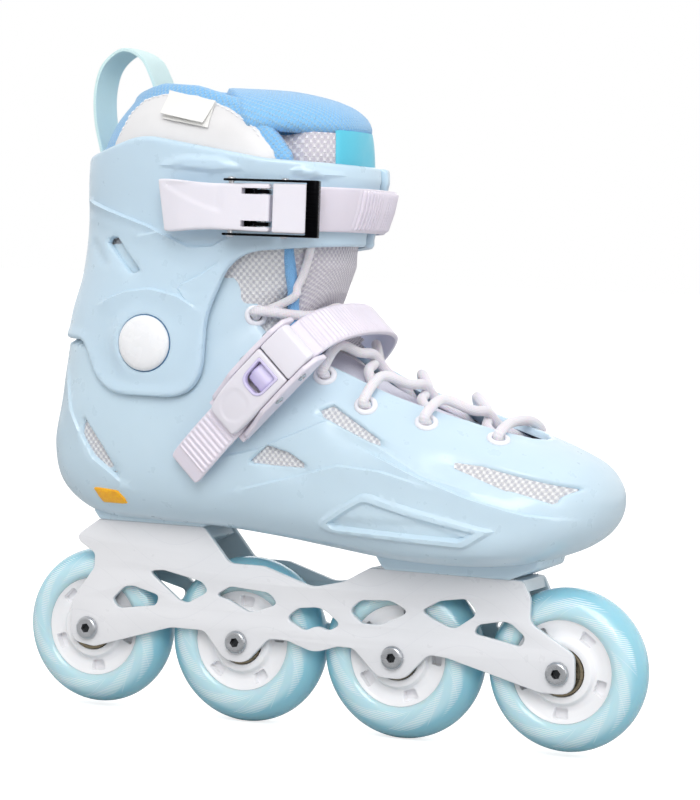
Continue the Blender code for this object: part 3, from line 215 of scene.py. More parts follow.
def surface(table, at, around, offset=0.0, even=True):
    """Points of a lofted surface; around runs 0 front, 1 rear, 2 front, inner side first."""
    fx, fz, bx, bz, width, top_round, low_round, widest, shift = between(table, at).T
    around = np.mod(around, 2.0)
    side = np.where(around <= 1.0, 1.0, -1.0)
    place = np.where(around <= 1.0, around, 2.0 - around)
    upper = place <= 0.5
    angle = np.clip(np.where(upper, place, 1.0 - place), 0.0, 0.5) * math.pi
    power = np.where(upper, top_round, low_round)
    if even:
        with np.errstate(over="ignore"):
            angle = np.arctan(np.tan(np.minimum(angle, math.pi / 2 - 1e-9)) ** (power / 2))
    cosine = np.clip(np.cos(angle), 0, 1) ** (2 / power)
    half = np.clip(np.sin(angle), 0, 1) ** (2 / power)
    along = np.where(upper, widest * (1 - cosine), 1 - (1 - widest) * (1 - cosine))
    way = np.stack([bx - fx, bz - fz], 1)
    way /= np.linalg.norm(way, axis=1)[:, None]
    offset = np.broadcast_to(np.asarray(offset, float), at.shape)
    tx, tz = fx - way[:, 0] * offset, fz - way[:, 1] * offset
    lx, lz = bx + way[:, 0] * offset, bz + way[:, 1] * offset
    x = tx + (lx - tx) * along + offset * np.maximum(0.0, (fx + bx) / 2 - 80.0) / 60.0
    return np.stack([x, shift + side * half * (width + offset), tz + (lz - tz) * along], 1)


def normals(table, at, around, even=True):
    """Outward unit normals of a lofted surface."""
    e = 0.004
    last = len(table) - 1
    lo, hi = np.clip(at - e, 0, last), np.clip(at + e, 0, last)
    du = surface(table, hi, around, 0.0, even) - surface(table, lo, around, 0.0, even)
    dv = surface(table, at, around + e, 0.0, even) - surface(table, at, around - e, 0.0, even)
    n = np.cross(dv, du)
    n /= np.maximum(np.linalg.norm(n, axis=1), 1e-12)[:, None]
    out = surface(table, at, around, 1.0, even) - surface(table, at, around, 0.0, even)
    return np.where((np.sum(n * out, axis=1) < 0)[:, None], -n, n)


def surface_spot(table, at, around, offset=0.0, even=False):
    """One point of a surface and its outward normal."""
    a, b = np.array([float(at)]), np.array([float(around)])
    n = normals(table, a, b, even)[0]
    return Vector(surface(table, a, b, 0.0, even)[0] + n * offset), Vector(n)


def stops_for(table, first, last, spacing):
    """Places along the sections about one spacing apart on the surface."""
    stops = []
    for i in range(int(first), int(last)):
        a, b = table[i], table[i + 1]
        span = max(math.dist(a[:2], b[:2]), math.dist(a[2:4], b[2:4]), abs(a[4] - b[4]))
        count = max(1, round(span / spacing))
        stops += [i + k / count for k in range(count)]
    return stops + [float(last)]


class Skin:
    """A sheet of faces whose corners are kept as numbers until they are placed in space."""

    def __init__(self, coordinates, faces):
        self.at = np.asarray(coordinates, float)
        self.faces = [tuple(f) for f in faces]

    @classmethod
    def tube(cls, stops, around_count):
        """Closed around, open at both ends."""
        places = np.arange(around_count) * 2.0 / around_count
        grid = [(s, a) for s in stops for a in places]
        faces = []
        for i in range(len(stops) - 1):
            for k in range(around_count):
                a, b = i * around_count + k, i * around_count + (k + 1) % around_count
                faces.append((a, b, b + around_count, a + around_count))
        return cls(grid, faces)

    def split(self, field, level=0.0, keep=None, tolerance=0.12):
        """Cut the faces along field == level; with keep -1 or 1, drop the other side."""
        values = field(self.at) - level
        values = np.where(np.abs(values) < tolerance, 0.0, values)
        sign = np.sign(values)
        cache, fresh, kept = {}, [], []
        count = len(self.at)

        def crossing(i, j):
            key = (i, j) if i < j else (j, i)
            if key not in cache:
                a, b = self.at[key[0]], self.at[key[1]].copy()
                if abs(b[1] - a[1]) > 1.0:
                    b[1] += 2.0 if b[1] < a[1] else -2.0
                t = values[key[0]] / (values[key[0]] - values[key[1]])
                cache[key] = count + len(fresh)
                spot = a * (1 - t) + b * t
                spot[1] %= 2.0
                fresh.append(spot)
            return cache[key]

        for face in self.faces:
            signs = [sign[i] for i in face]
            if min(signs) >= 0 or max(signs) <= 0:
                if keep is None or max(signs, key=abs) == keep:
                    kept.append(face)
                continue
            over, under = [], []
            for k, i in enumerate(face):
                j = face[(k + 1) % len(face)]
                if sign[i] >= 0:
                    over.append(i)
                if sign[i] <= 0:
                    under.append(i)
                if sign[i] * sign[j] < 0:
                    new = crossing(i, j)
                    over.append(new)
                    under.append(new)
            if keep != -1 and len(over) > 2:
                kept.append(tuple(over))
            if keep != 1 and len(under) > 2:
                kept.append(tuple(under))
        if fresh:
            self.at = np.vstack([self.at, fresh])
        self.faces = kept
        return self

    def tidy(self):
        """Drop unused corners."""
        used = sorted({i for f in self.faces for i in f})
        where = {old: new for new, old in enumerate(used)}
        self.at = self.at[used]
        self.faces = [tuple(where[i] for i in f) for f in self.faces]
        return self

    def edge(self):
        """Directed edges that have a face on one side only."""
        seen = {}
        for face in self.faces:
            for k, i in enumerate(face):
                j = face[(k + 1) % len(face)]
                if (j, i) in seen:
                    del seen[(j, i)]
                else:
                    seen[(i, j)] = True
        return list(seen)


def solid_faces(skin):
    """Faces of a skin, its copy facing the other way, and the walls joining their edges."""
    count = len(skin.at)
    faces = list(skin.faces)
    faces += [tuple(i + count for i in reversed(f)) for f in skin.faces]
    faces += [(j, i, i + count, j + count) for i, j in skin.edge()]
    return faces


# ---------------------------------------------------------------- meshes
def loose(name, points, faces, material, uv=None, sharp=60.0, outward=True):
    """A finished mesh that isn't attached to any body yet."""
    mesh = bpy.data.meshes.new(name)
    mesh.from_pydata([tuple(float(c) * MM for c in p) for p in points], [], faces)
    mesh.update()
    if uv is not None:
        layer = mesh.uv_layers.new(name="flat")
        index = np.empty(len(mesh.loops), int)
        mesh.loops.foreach_get("vertex_index", index)
        layer.data.foreach_set("uv", (np.asarray(uv, float)[index] * UV_SCALE).ravel())
    obj = bpy.data.objects.new(name, mesh)
    bpy.context.scene.collection.objects.link(obj)
    finish_mesh(obj, material, sharp, outward)
    return obj


def make(name, points, faces, body, material, replaces=(), slot=None, uv=None, sharp=40.0,
         outward=True):
    obj = loose(name, points, faces, material, uv, sharp, outward)
    return attach(obj, body, replaces, slot)


def finish_mesh(obj, material, sharp, outward=True):
    """Merge doubles, turn the faces outwards, and give the material and the shading."""
    shaped = bmesh.new()
    shaped.from_mesh(obj.data)
    bmesh.ops.remove_doubles(shaped, verts=shaped.verts, dist=MERGE)
    if outward:
        bmesh.ops.recalc_face_normals(shaped, faces=shaped.faces)
        if shaped.calc_volume(signed=True) < 0:
            bmesh.ops.reverse_faces(shaped, faces=shaped.faces)
    shaped.to_mesh(obj.data)
    shaped.free()
    obj.data.materials.clear()
    obj.data.materials.append(material)
    obj.data.shade_smooth()
    obj.data.set_sharp_from_angle(angle=math.radians(sharp))


def attach(obj, body, replaces=(), slot=None):
    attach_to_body(obj, body)
    if replaces:
        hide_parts(*replaces)
    if slot or replaces:
        slot or replaces[0]
    return obj


def apply_modifiers(obj):
    """Keep what the modifiers make as the mesh itself."""
    bpy.context.view_layer.update()
    made = bpy.data.meshes.new_from_object(obj.evaluated_get(
        bpy.context.evaluated_depsgraph_get()))
    made.name = obj.name
    obj.modifiers.clear()
    obj.data = made
    return obj


# ---------------------------------------------------------------- materials
def linear(color):
    """Screen colour, 0 to 255, as the shader's linear values."""
    return tuple((c / 255 / 12.92) if c <= 10 else ((c / 255 + 0.055) / 1.055) ** 2.4
                 for c in color) + (1.0,)


def dimmed(color, share):
    """A linear colour made darker."""
    return tuple(c * share for c in color[:3]) + (1.0,)


class Shade:
    """One node material, built on its Principled BSDF."""

    def __init__(self, name, color, rough=0.4, metal=0.0):
        self.material = bpy.data.materials.new(name)
        self.material.use_nodes = True
        self.tree = self.material.node_tree
        self.out = self.tree.nodes["Principled BSDF"]
        self.put("Base Color", linear(color))
        self.put("Roughness", rough)
        self.put("Metallic", metal)
        self.color = linear(color)

    def put(self, socket, value):
        self.out.inputs[socket].default_value = value
        return self

    def node(self, kind, **values):
        made = self.tree.nodes.new(kind)
        for key, value in values.items():
            if hasattr(made, key):
                setattr(made, key, value)
            else:
                made.inputs[key.replace("_", " ")].default_value = value
        return made

    def link(self, a, b):
        self.tree.links.new(a, b)

    def math(self, operation, a, b=0.0):
        made = self.node("ShaderNodeMath", operation=operation)
        for socket, value in zip(made.inputs, (a, b)):
            if isinstance(value, (int, float)):
                socket.default_value = value
            else:
                self.link(value, socket)
        return made.outputs[0]

    def times(self, a, b):
        return self.math("MULTIPLY", a, b)

    def plus(self, a, b):
        return self.math("ADD", a, b)

    def sine(self, a):
        return self.math("SINE", a)

    def absolute(self, a):
        return self.math("ABSOLUTE", a)

    def coordinates(self, source="Object"):
        if not hasattr(self, "coords"):
            self.coords = self.node("ShaderNodeTexCoord")
        return self.coords.outputs[source]

    def axes(self, source="Object"):
        parts = self.node("ShaderNodeSeparateXYZ")
        self.link(self.coordinates(source), parts.inputs[0])
        return parts.outputs

    def noise(self, scale, detail=3.0):
        made = self.node("ShaderNodeTexNoise", Scale=scale, Detail=detail, Roughness=0.55)
        self.link(self.coordinates(), made.inputs["Vector"])
        return made.outputs["Fac"]

    def ramp(self, value, low, high, start=0.0, end=1.0):
        made = self.node("ShaderNodeMapRange")
        made.interpolation_type = "SMOOTHSTEP"
        self.link(value, made.inputs[0])
        for i, v in enumerate((low, high, start, end), 1):
            made.inputs[i].default_value = v
        return made.outputs[0]

    def mix(self, factor, a, b):
        """Mix of two colours; each is a colour or a socket."""
        made = self.node("ShaderNodeMix", data_type="RGBA")
        self.link(factor, made.inputs[0])
        for socket, value in ((made.inputs[6], a), (made.inputs[7], b)):
            if isinstance(value, tuple):
                socket.default_value = value if len(value) == 4 else linear(value)
            else:
                self.link(value, socket)
        return made.outputs[2]

    def colour(self, socket):
        self.link(socket, self.out.inputs["Base Color"])
        return self

    def coat(self, weight, rough):
        self.put("Coat Weight", weight).put("Coat Roughness", rough)

    def sheen(self, weight, rough):
        self.put("Sheen Weight", weight).put("Sheen Roughness", rough)

    def roughness(self, value, low, high):
        self.link(self.ramp(value, 0.3, 0.7, low, high), self.out.inputs["Roughness"])
        return self

    def bump(self, height, strength=0.3, distance=0.0005):
        made = self.node("ShaderNodeBump")
        made.inputs["Strength"].default_value = strength
        made.inputs["Distance"].default_value = distance
        if getattr(self, "last_bump", None):
            self.link(self.last_bump, made.inputs["Normal"])
        self.link(height, made.inputs["Height"])
        self.last_bump = made.outputs[0]
        self.link(self.last_bump, self.out.inputs["Normal"])
        return self


def moulded(name, color, rough=0.35, grain=900.0, dirt=0.03, under=0.0):
    """Injection-moulded plastic: fine grain, faint tone change, soft gloss."""
    s = Shade(name, color, rough)
    base = linear(color)
    darker = dimmed(base, 1 - dirt)
    s.colour(s.mix(s.ramp(s.noise(22.0, 3.0), 0.3, 0.7), base, darker))
    s.roughness(s.noise(140.0, 3.0), rough - 0.05, rough + 0.07)
    s.bump(s.noise(grain, 2.0), 0.10, 0.00012)
    s.bump(s.noise(60.0, 2.0), 0.08, 0.0004)
    if under:
        s.put("Subsurface Weight", under)
        s.put("Subsurface Radius", (0.8, 1.0, 1.2))
        s.put("Subsurface Scale", 0.004)
    s.coat(0.25, 0.18)
    return s.material


def metal(name, color, rough=0.28, brushed=(40.0, 40.0, 900.0)):
    s = Shade(name, color, rough, 1.0)
    stretch = s.node("ShaderNodeMapping")
    s.link(s.coordinates(), stretch.inputs[0])
    stretch.inputs["Scale"].default_value = brushed
    lines = s.node("ShaderNodeTexNoise", Scale=1.0, Detail=4.0)
    s.link(stretch.outputs[0], lines.inputs["Vector"])
    base = linear(color)
    dull = dimmed(base, 0.9)
    s.colour(s.mix(s.ramp(lines.outputs["Fac"], 0.35, 0.65), dull, base))
    s.roughness(lines.outputs["Fac"], rough - 0.06, rough + 0.10)
    s.bump(lines.outputs["Fac"], 0.08, 0.00006)
    return s.material


def spacer_mesh(name, color, hole_shade, pitch=(3.0, 3.6), size=(0.42, 0.62), depth=0.0009):
    """Knitted spacer mesh: staggered round holes in a soft knit. The mesh's flat map is in cm."""
    s = Shade(name, color, 0.85)
    u, v, _ = s.axes("UV")
    a = s.math("COSINE", s.times(u, math.pi * 10 / pitch[0]))
    b = s.math("COSINE", s.times(v, math.pi * 10 / pitch[1]))
    both = s.absolute(s.times(a, b))
    c = s.sine(s.times(u, math.pi * 10 / pitch[0]))
    d = s.sine(s.times(v, math.pi * 10 / pitch[1]))
    other = s.absolute(s.times(c, d))
    dots = s.math("MAXIMUM", both, other)
    # The holes and the rims round them are painted darker: painted shade inside the knit's
    # openings.
    hole_shade_mask = s.ramp(dots, size[1], size[1] + 0.2)
    rim = s.ramp(dots, size[0], size[1])
    threads = s.node("ShaderNodeTexWave", Scale=9.0, Distortion=2.0)
    s.link(s.coordinates("UV"), threads.inputs["Vector"])
    tone = s.mix(s.ramp(threads.outputs["Fac"], 0.2, 0.8), linear(color),
                 dimmed(linear(color), 0.86))
    shaded = s.mix(rim, tone, dimmed(linear(color), 0.88))
    s.colour(s.mix(hole_shade_mask, shaded, linear(hole_shade)))
    s.bump(s.math("SUBTRACT", 1.0, rim), 0.8, depth)
    s.bump(threads.outputs["Fac"], 0.25, 0.0003)
    s.sheen(0.4, 0.5)
    return s.material


def woven(name, color, pitch=0.9, contrast=0.82, rough=0.8, sheen=0.3, depth=0.0004):
    """Woven tape or cloth: over-and-under threads along both directions of the flat map."""
    s = Shade(name, color, rough)
    u, v, _ = s.axes("UV")
    warp = s.sine(s.times(u, 2 * math.pi * 10 / pitch))
    weft = s.sine(s.times(v, 2 * math.pi * 10 / pitch))
    over = s.times(warp, weft)
    base = linear(color)
    shade = dimmed(base, contrast)
    s.colour(s.mix(s.ramp(over, -0.6, 0.6), shade, base))
    s.bump(over, 0.5, depth)
    s.bump(s.noise(500.0, 2.0), 0.15, 0.0003)
    s.sheen(sheen, 0.4)
    return s.material


BLUE = moulded("shell_plastic", (202, 224, 238), 0.32, under=0.12)
CUFF_BLUE = moulded("cuff_plastic", (200, 223, 239), 0.32, under=0.12)
WHITE = moulded("buckle_plastic", (232, 229, 238), 0.34, under=0.08)
LAVENDER = moulded("pawl_plastic", (214, 206, 240), 0.3, under=0.1)
STRAP = moulded("strap_plastic", (229, 222, 234), 0.42, under=0.15)
CAP_WHITE = moulded("cap_plastic", (244, 245, 248), 0.25, under=0.05)
HUB_WHITE = moulded("hub_plastic", (247, 247, 250), 0.38, under=0.1)
EYELET_WHITE = moulded("eyelet_plastic", (240, 240, 246), 0.3)
# Dark blue for the gap round the pivot caps: a painted shadow.
PAINTED_GAP_SHADOW = moulded("gap_shadow", (60, 110, 150), 0.6)
STEEL = metal("steel", (196, 198, 202), 0.27, (24.0, 24.0, 300.0))
BLACK_STEEL = metal("black_steel", (14, 14, 16), 0.22)


# ---------------------------------------------------------------- shell
def lip(distance, radius):
    """How far a surface drops towards an edge with a quarter-round lip."""
    inner = np.clip(radius - np.maximum(distance, 0.0), 0.0, radius)
    return radius - np.sqrt(np.maximum(radius ** 2 - inner ** 2, 0.0))


def ridge(points, line, height, width, sharp=0.9, ends=0.18):
    """Raised crease: sharp on the line's right, falling away over a width on its left."""
    off, place = along_line(points, line)
    fade = smooth_step(place, 0.0, ends) * smooth_step(1.0 - place, 0.0, ends)
    left = np.clip(1.0 - off / width, 0.0, 1.0) ** 1.5
    right = np.clip(1.0 + off / sharp, 0.0, 1.0)
    return height * fade * np.where(off >= 0, left, right)


def groove(points, line, depth, width, ends=0.15):
    off, place = along_line(points, line)
    fade = smooth_step(place, 0.0, ends) * smooth_step(1.0 - place, 0.0, ends)
    return -depth * fade * np.exp(-(off / width) ** 2)


VENT_OUTLINES = [rounded(v) for v in VENTS]
THROAT_OUTLINE = list(THROAT) + [(x, -y) for x, y in reversed(THROAT)]
FLAP_SIDE = rounded(((-33, 246, 0), (-26, 226, 12), (-20, 212, 12), (-11, 201, 10),
                     (1, 192, 12), (11, 180, 6), (60, 180, 0), (60, 246, 0)))
CUFF_EDGE = rounded(CUFF_OUTLINE, 10)
FRAME_OUTER = rounded(((9, 103, 3), (36, 119.5, 10), (60, 114, 30), (101, 106, 1), (86, 96.5, 8),
                       (15, 98.5, 6)))
FRAME_INNER = rounded(((15, 103, 2), (36, 115.5, 8), (60, 110, 30), (92, 104.5, 1),
                       (84, 100, 6), (20, 101, 4)))
SPLIT_ANGLE = 17.0
HEEL_CLEAR = (-106.0, 197.0)                 # x and z
PIVOT_HOLE = 5.4
EYELET_HOLE = 2.9


def xz(points):
    return points[:, [0, 2]]


def at_shell(coordinates):
    return surface(BOOT, coordinates[:, 0], coordinates[:, 1])


def vent_distance(points):
    return np.min([signed(xz(points), outline) for outline in VENT_OUTLINES], axis=0)


def throat_distance(points):
    plan = np.where(points[:, 2] > 118.0, signed(points[:, :2], THROAT_OUTLINE), FAR)
    return np.minimum(plan, signed(xz(points), FLAP_SIDE))


def top_distance(points):
    """Positive below and ahead of where the cuff's own padding begins."""
    dx, dz = points[:, 0] - PIVOT[0], points[:, 2] - PIVOT[1]
    radius = np.hypot(dx, dz)
    angle = np.degrees(np.arctan2(dz, dx))
    below = (SPLIT_ANGLE - angle) * np.pi / 180 * radius
    below = np.where(angle < -100, 181 * np.pi / 180 * radius, below)
    return np.maximum(INNER_SPLIT - 0.8 - radius, np.minimum(below, 60.0))


def heel_distance(points):
    """Positive where the heel stays clear of the leaning cuff."""
    return np.maximum(HEEL_CLEAR[1] - points[:, 2], points[:, 0] - HEEL_CLEAR[0])


def pivot_distance(points):
    return np.hypot(points[:, 0] - PIVOT[0], points[:, 2] - PIVOT[1]) - PIVOT_HOLE


def eyelet_spots():
    return [surface_spot(BOOT, at, side)
            for at, around in EYELETS for side in (around, 2.0 - around)]


def eyelet_distance(points):
    far = np.full(len(points), FAR)
    for spot, normal in eyelet_spots():
        off = points - np.array(spot)
        depth = off @ np.array(normal)
        plane = np.sqrt(np.maximum(np.sum(off ** 2, 1) - depth ** 2, 0))
        far = np.minimum(far, np.where(np.abs(depth) < 10, plane - EYELET_HOLE, FAR))
    return far


CREASE = 1.0
SHELL_CREASES = (
    (((134, 111), (112, 113.5), (86, 119.5), (62, 127), (40, 135.5), (26, 141)), 1.9, 11.0),
    (((22, 154), (4, 145.5), (-20, 135), (-46, 128)), 1.2, 10.0),
    (((74, 121.5), (44, 128.5), (22, 130), (-4, 122.5), (-42, 112)), 1.1, 12.0),
    (((-86, 109), (-110, 125), (-125, 148), (-133, 172)), 1.1, 9.0),
    (((96, 121), (64, 128), (40, 140), (30, 152)), 0.8, 7.0),
)


def shell_relief(points):
    """How far the shell's outer face stands out from its smooth lofted form."""
    flat = xz(points)
    lift = np.zeros(len(points))
    lift -= lip(vent_distance(points), 1.3) + lip(throat_distance(points), 1.4)
    # Raised frame low on the toe and its sunken field, with a stepped bar across it.
    outside, inside = signed(flat, FRAME_OUTER), signed(flat, FRAME_INNER)
    low = smooth_step(-outside, 0.0, 1.6) * (1 - smooth_step(-inside, -0.2, 1.1))
    sunk = smooth_step(-inside, 0.0, 1.2)
    bar = ((38, 106), (52, 106.5), (66, 107.5), (78, 104.0))
    off, _ = along_line(flat, bar)
    lift += 1.5 * low - 1.3 * sunk * (1 - 0.75 * smooth_step(off, -0.6, 0.8))
    # Hollows that lead into the vents.
    for line, depth, width in ((((60, 137), (85, 133), (118, 119.5)), 2.2, 5.5),
                               (((-24, 131), (-4, 126), (12, 126.5)), 1.1, 4.0),
                               (((8, 152), (28, 141.5), (52, 134)), 1.1, 3.5),
                               (((-117, 141), (-108, 128), (-92, 114)), 1.2, 4.0)):
        lift += groove(flat, line, depth, width, 0.3)
    for line, height, width in SHELL_CREASES:
        lift += ridge(flat, line, height, width, CREASE)
    # Flap edge rim beside the throat.
    near = throat_distance(points)
    lift += 0.5 * (1 - smooth_step(near, 1.0, 4.5)) * smooth_step(near, -0.5, 1.0)
    # Sole edge.
    lift += ridge(flat, ((-128, 101), (-60, 97.5), (-10, 94.5), (60, 91), (118, 95)), 0.7, 6.0,
                  1.2, 0.1)
    return lift


def under_cuff(points, moved):
    """Step the shell back where the cuff lies over its heel, so that the two stay clear."""
    x, z = points[:, 0], points[:, 2]
    rear = smooth_step(z, 179.6, 181.0) * smooth_step(-x, 96.0, 116.0)
    cover = signed(xz(points), CUFF_EDGE)
    sides = smooth_step(-cover, -1.5, 1.0)
    return moved - 3.4 * rear - 0.5 * sides * (1 - rear)


def crease_cuts(skin, place, creases):
    """Lay corners along both sides of each crease, so that it stays crisp."""
    for line, _, _ in creases:
        for level in (0.0, -CREASE):
            skin.split(lambda c, way=line: near_line(place(c), way), level)


def near_line(points, line):
    """Signed distance to an open line, but far off past its ends."""
    off, place = along_line(xz(points), line)
    return np.where((place > 0.002) & (place < 0.998) & (np.abs(off) < 9.0), off, 9.0)


def thick(skin, table, relief, wall, clear=None):
    """Outer and inner points of a walled piece, placed from its skin."""
    at, around = skin.at[:, 0], skin.at[:, 1]
    plain = surface(table, at, around)
    way = normals(table, at, around)
    lift = relief(plain)
    if clear:
        lift = clear(plain, lift)
    inner = np.minimum(-wall, lift - 1.6)
    return np.vstack([plain + way * lift[:, None], plain + way * inner[:, None]])


def make_shell():
    skin = Skin.tube(stops_for(BOOT, 0, 19, 2.3), 132)
    for field, levels in ((vent_distance, (1.3, 0.5)), (throat_distance, (1.4, 0.5)),
                          (lambda p: signed(xz(p), FRAME_OUTER), (-1.6, 0.0)),
                          (lambda p: signed(xz(p), FRAME_INNER), (0.0, -1.2))):
        for level in levels:
            skin.split(lambda c, f=field: f(at_shell(c)), level)
    crease_cuts(skin, at_shell, SHELL_CREASES)
    for field in (vent_distance, throat_distance, pivot_distance, eyelet_distance):
        skin.split(lambda c, f=field: f(at_shell(c)), 0.0, keep=1)
    skin.split(lambda c: top_distance(at_shell(c)), 0.0, keep=1)
    skin.split(lambda c: heel_distance(at_shell(c)), 0.0, keep=1)
    skin.tidy()
    points = thick(skin, BOOT, shell_relief, SHELL_WALL, under_cuff)
    faces = solid_faces(skin)
    # The toe's open ring is closed by a small dome inside and out.
    ring = [i for i in range(len(skin.at)) if skin.at[i, 0] < 1e-6]
    ring.sort(key=lambda i: skin.at[i, 1])
    count = len(skin.at)
    wall = {(j, i, i + count, j + count) for i, j in skin.edge()}
    start = set(ring)
    faces = [f for f in faces if not (f in wall and f[0] in start and f[1] in start)]
    points = list(points)
    for loop, bulge in ((ring, 0.45), ([i + count for i in ring], 0.3)):
        middle = np.mean([points[i] for i in loop], axis=0)
        last = loop
        for shrink in (0.72, 0.4, 0.12):
            base = len(points)
            for i in loop:
                spot = middle + (points[i] - middle) * shrink
                spot[0] += bulge * (1 - shrink)
                points.append(spot)
            fresh = list(range(base, base + len(loop)))
            for k in range(len(loop)):
                n = (k + 1) % len(loop)
                faces.append((last[k], last[n], fresh[n], fresh[k]))
            last = fresh
        faces.append(tuple(last))
    return make("boot_shell", points, faces, "boot", BLUE, ("shell",))


def make_vent_mesh():
    """Knitted mesh drawn tight behind each vent."""
    skin = Skin.tube(stops_for(BOOT, 1, 16, 2.6), 120)
    skin.split(lambda c: vent_distance(at_shell(c)), 1.4, keep=-1)
    skin.tidy()
    at, around = skin.at[:, 0], skin.at[:, 1]
    plain, way = surface(BOOT, at, around), normals(BOOT, at, around)
    points = np.vstack([plain - way * 2.0, plain - way * 2.7])
    flat = np.vstack([xz(plain)] * 2)
    make("vent_mesh_inserts", points, solid_faces(skin), "boot", MESH_WHITE, slot="liner_lower",
         uv=flat)


def make_sole_pads():
    """Solid pads under the boot that sit on the frame."""
    for name, outline, half in (
            ("front", ((27, 93, 0), (34, 82.6, 3), (36, 81.1, 1), (97, 81.1, 1), (111, 87, 3),
                       (112, 92, 0), (29, 94, 0)), 19.5),
            ("rear", ((-119, 98, 0), (-116, 94.1, 2), (-60, 94.1, 2), (-53, 98, 2), (-53, 101, 0),
                      (-119, 102, 0)), 18.5)):
        pad_block = extruded(f"sole_pad_{name}_block", [rounded(outline, 4)], -half, half, 1.6,
                             steps=3)
        done(pad_block, "boot", BLUE, slot="shell")


# ---------------------------------------------------------------- cuff
def at_cuff(coordinates):
    return surface(CUFF, coordinates[:, 0], coordinates[:, 1])


def cuff_edge_distance(points):
    """Positive inside the cuff's outline."""
    return -signed(xz(points), CUFF_EDGE)


def slit_distance(points):
    """Positive outside the gap between the two flaps at the front."""
    flat = points[:, 1:2] * [1.0, 0.0] + points[:, 2:3] * [0.0, 1.0]
    far = signed(flat, ((4.0, 190.0), (13.0, 190.0), (13.0, 320.0), (4.0, 320.0)))
    return np.where(points[:, 0] > -5.0, far, 40.0)


REAR_SLOT = rounded(((-107, 230, 1), (-99, 232, 2), (-84, 216, 1), (-90, 214.5, 3)))


def rear_slot_distance(points):
    return signed(xz(points), REAR_SLOT)


def pivot_ring(points):
    return np.hypot(points[:, 0] - PIVOT[0], points[:, 2] - PIVOT[1])


CUFF_CREASES = (
    (((-50, 197), (-63, 204.5), (-78, 207.5), (-92, 205.5), (-111, 198)), 1.5, 13.0),
    (((-33, 236), (-45, 228.5), (-57, 227.5), (-80, 237), (-128, 251)), 1.9, 11.0),
    (((-40, 222), (-52, 214.5), (-63, 209), (-57, 201)), 1.3, 6.0),
    (((-60, 233.5), (-72, 234.5), (-88, 231.5)), 0.7, 5.0),
)
CUFF_LENSES = [rounded(corners) for corners in (
    ((-79, 265.5, 2), (-60, 271.5, 16), (-42, 271, 12), (-26, 264.5, 2), (-44, 262.2, 10),
     (-60, 263.6, 8)),
    ((-14, 264.2, 2), (0, 267.8, 10), (17, 264, 2), (2, 260.6, 10)))]


def cuff_relief(points):
    flat = xz(points)
    edge = cuff_edge_distance(points)
    lift = -lip(edge, 1.7) - lip(slit_distance(points), 1.5) - lip(rear_slot_distance(points), 1.1)
    # Flat round boss for the pivot's cap.
    ring = pivot_ring(points)
    boss = 1 - smooth_step(ring, 14.5, 21.0)
    lift += boss * (46.1 - np.abs(points[:, 1]))
    lift -= lip(ring - 13.55, 0.9) * (ring < 16)
    for outline in CUFF_LENSES:
        inside = -signed(flat, outline)
        lift += 2.0 * smooth_step(inside, -0.2, 2.6)
    for line, height, width in CUFF_CREASES:
        lift += ridge(flat, line, height, width, CREASE)
    lift += groove(flat, ((-128, 247), (-100, 240), (-76, 233.5), (-56, 224)), 0.7, 2.4)
    lift += groove(flat, ((-58, 204), (-62, 209.5), (-52, 214.5), (-40, 221)), 0.7, 2.0, 0.1)
    lift += groove(flat, ((-117, 230), (-109, 221.5), (-103, 216.5)), 1.0, 1.6)
    # Hollow beside the rear slot, and a step along the strap's channel.
    lift += groove(flat, ((-104, 227), (-96, 221), (-84, 212)), 0.9, 3.2)
    band = (smooth_step(flat[:, 1], 233.0, 235.0) * (1 - smooth_step(flat[:, 1], 259.5, 262.0))
            * smooth_step(flat[:, 0], -72.0, -64.0))
    lift -= 0.7 * band
    # Rim along the lower edge.
    lift += 0.6 * (1 - smooth_step(edge, 2.2, 6.0)) * (flat[:, 1] < 235)
    return lift


def make_cuff():
    skin = Skin.tube(stops_for(CUFF, 0, 9, 2.0), 150)
    fields = ((cuff_edge_distance, (1.7, 0.6)), (slit_distance, (1.5, 0.5)),
              (rear_slot_distance, (1.1, 0.4)), (lambda p: pivot_ring(p) - 13.55, (2.2, 0.9, 0.3)))
    for field, levels in fields:
        for level in levels:
            skin.split(lambda c, f=field: f(at_cuff(c)), level)
    for outline in CUFF_LENSES:
        for level in (0.0, -2.2):
            skin.split(lambda c, edge=outline: signed(xz(at_cuff(c)), edge), level)
    crease_cuts(skin, at_cuff, CUFF_CREASES)
    for field in (cuff_edge_distance, slit_distance, rear_slot_distance):
        skin.split(lambda c, f=field: f(at_cuff(c)), 0.0, keep=1)
    skin.split(lambda c: pivot_ring(at_cuff(c)) - 13.55, 0.0, keep=1)
    skin.tidy()
    points = thick(skin, CUFF, cuff_relief, CUFF_WALL)
    return make("cuff_moulding", points, solid_faces(skin), "cuff", CUFF_BLUE, ("cuff",))


REFLECTOR = rounded(((-112, 111.2, 1.2), (-97, 110.6, 1.5), (-92.2, 104.6, 1.0), (-96, 104, 1),
                     (-107.5, 104.0, 2.0)), 5)


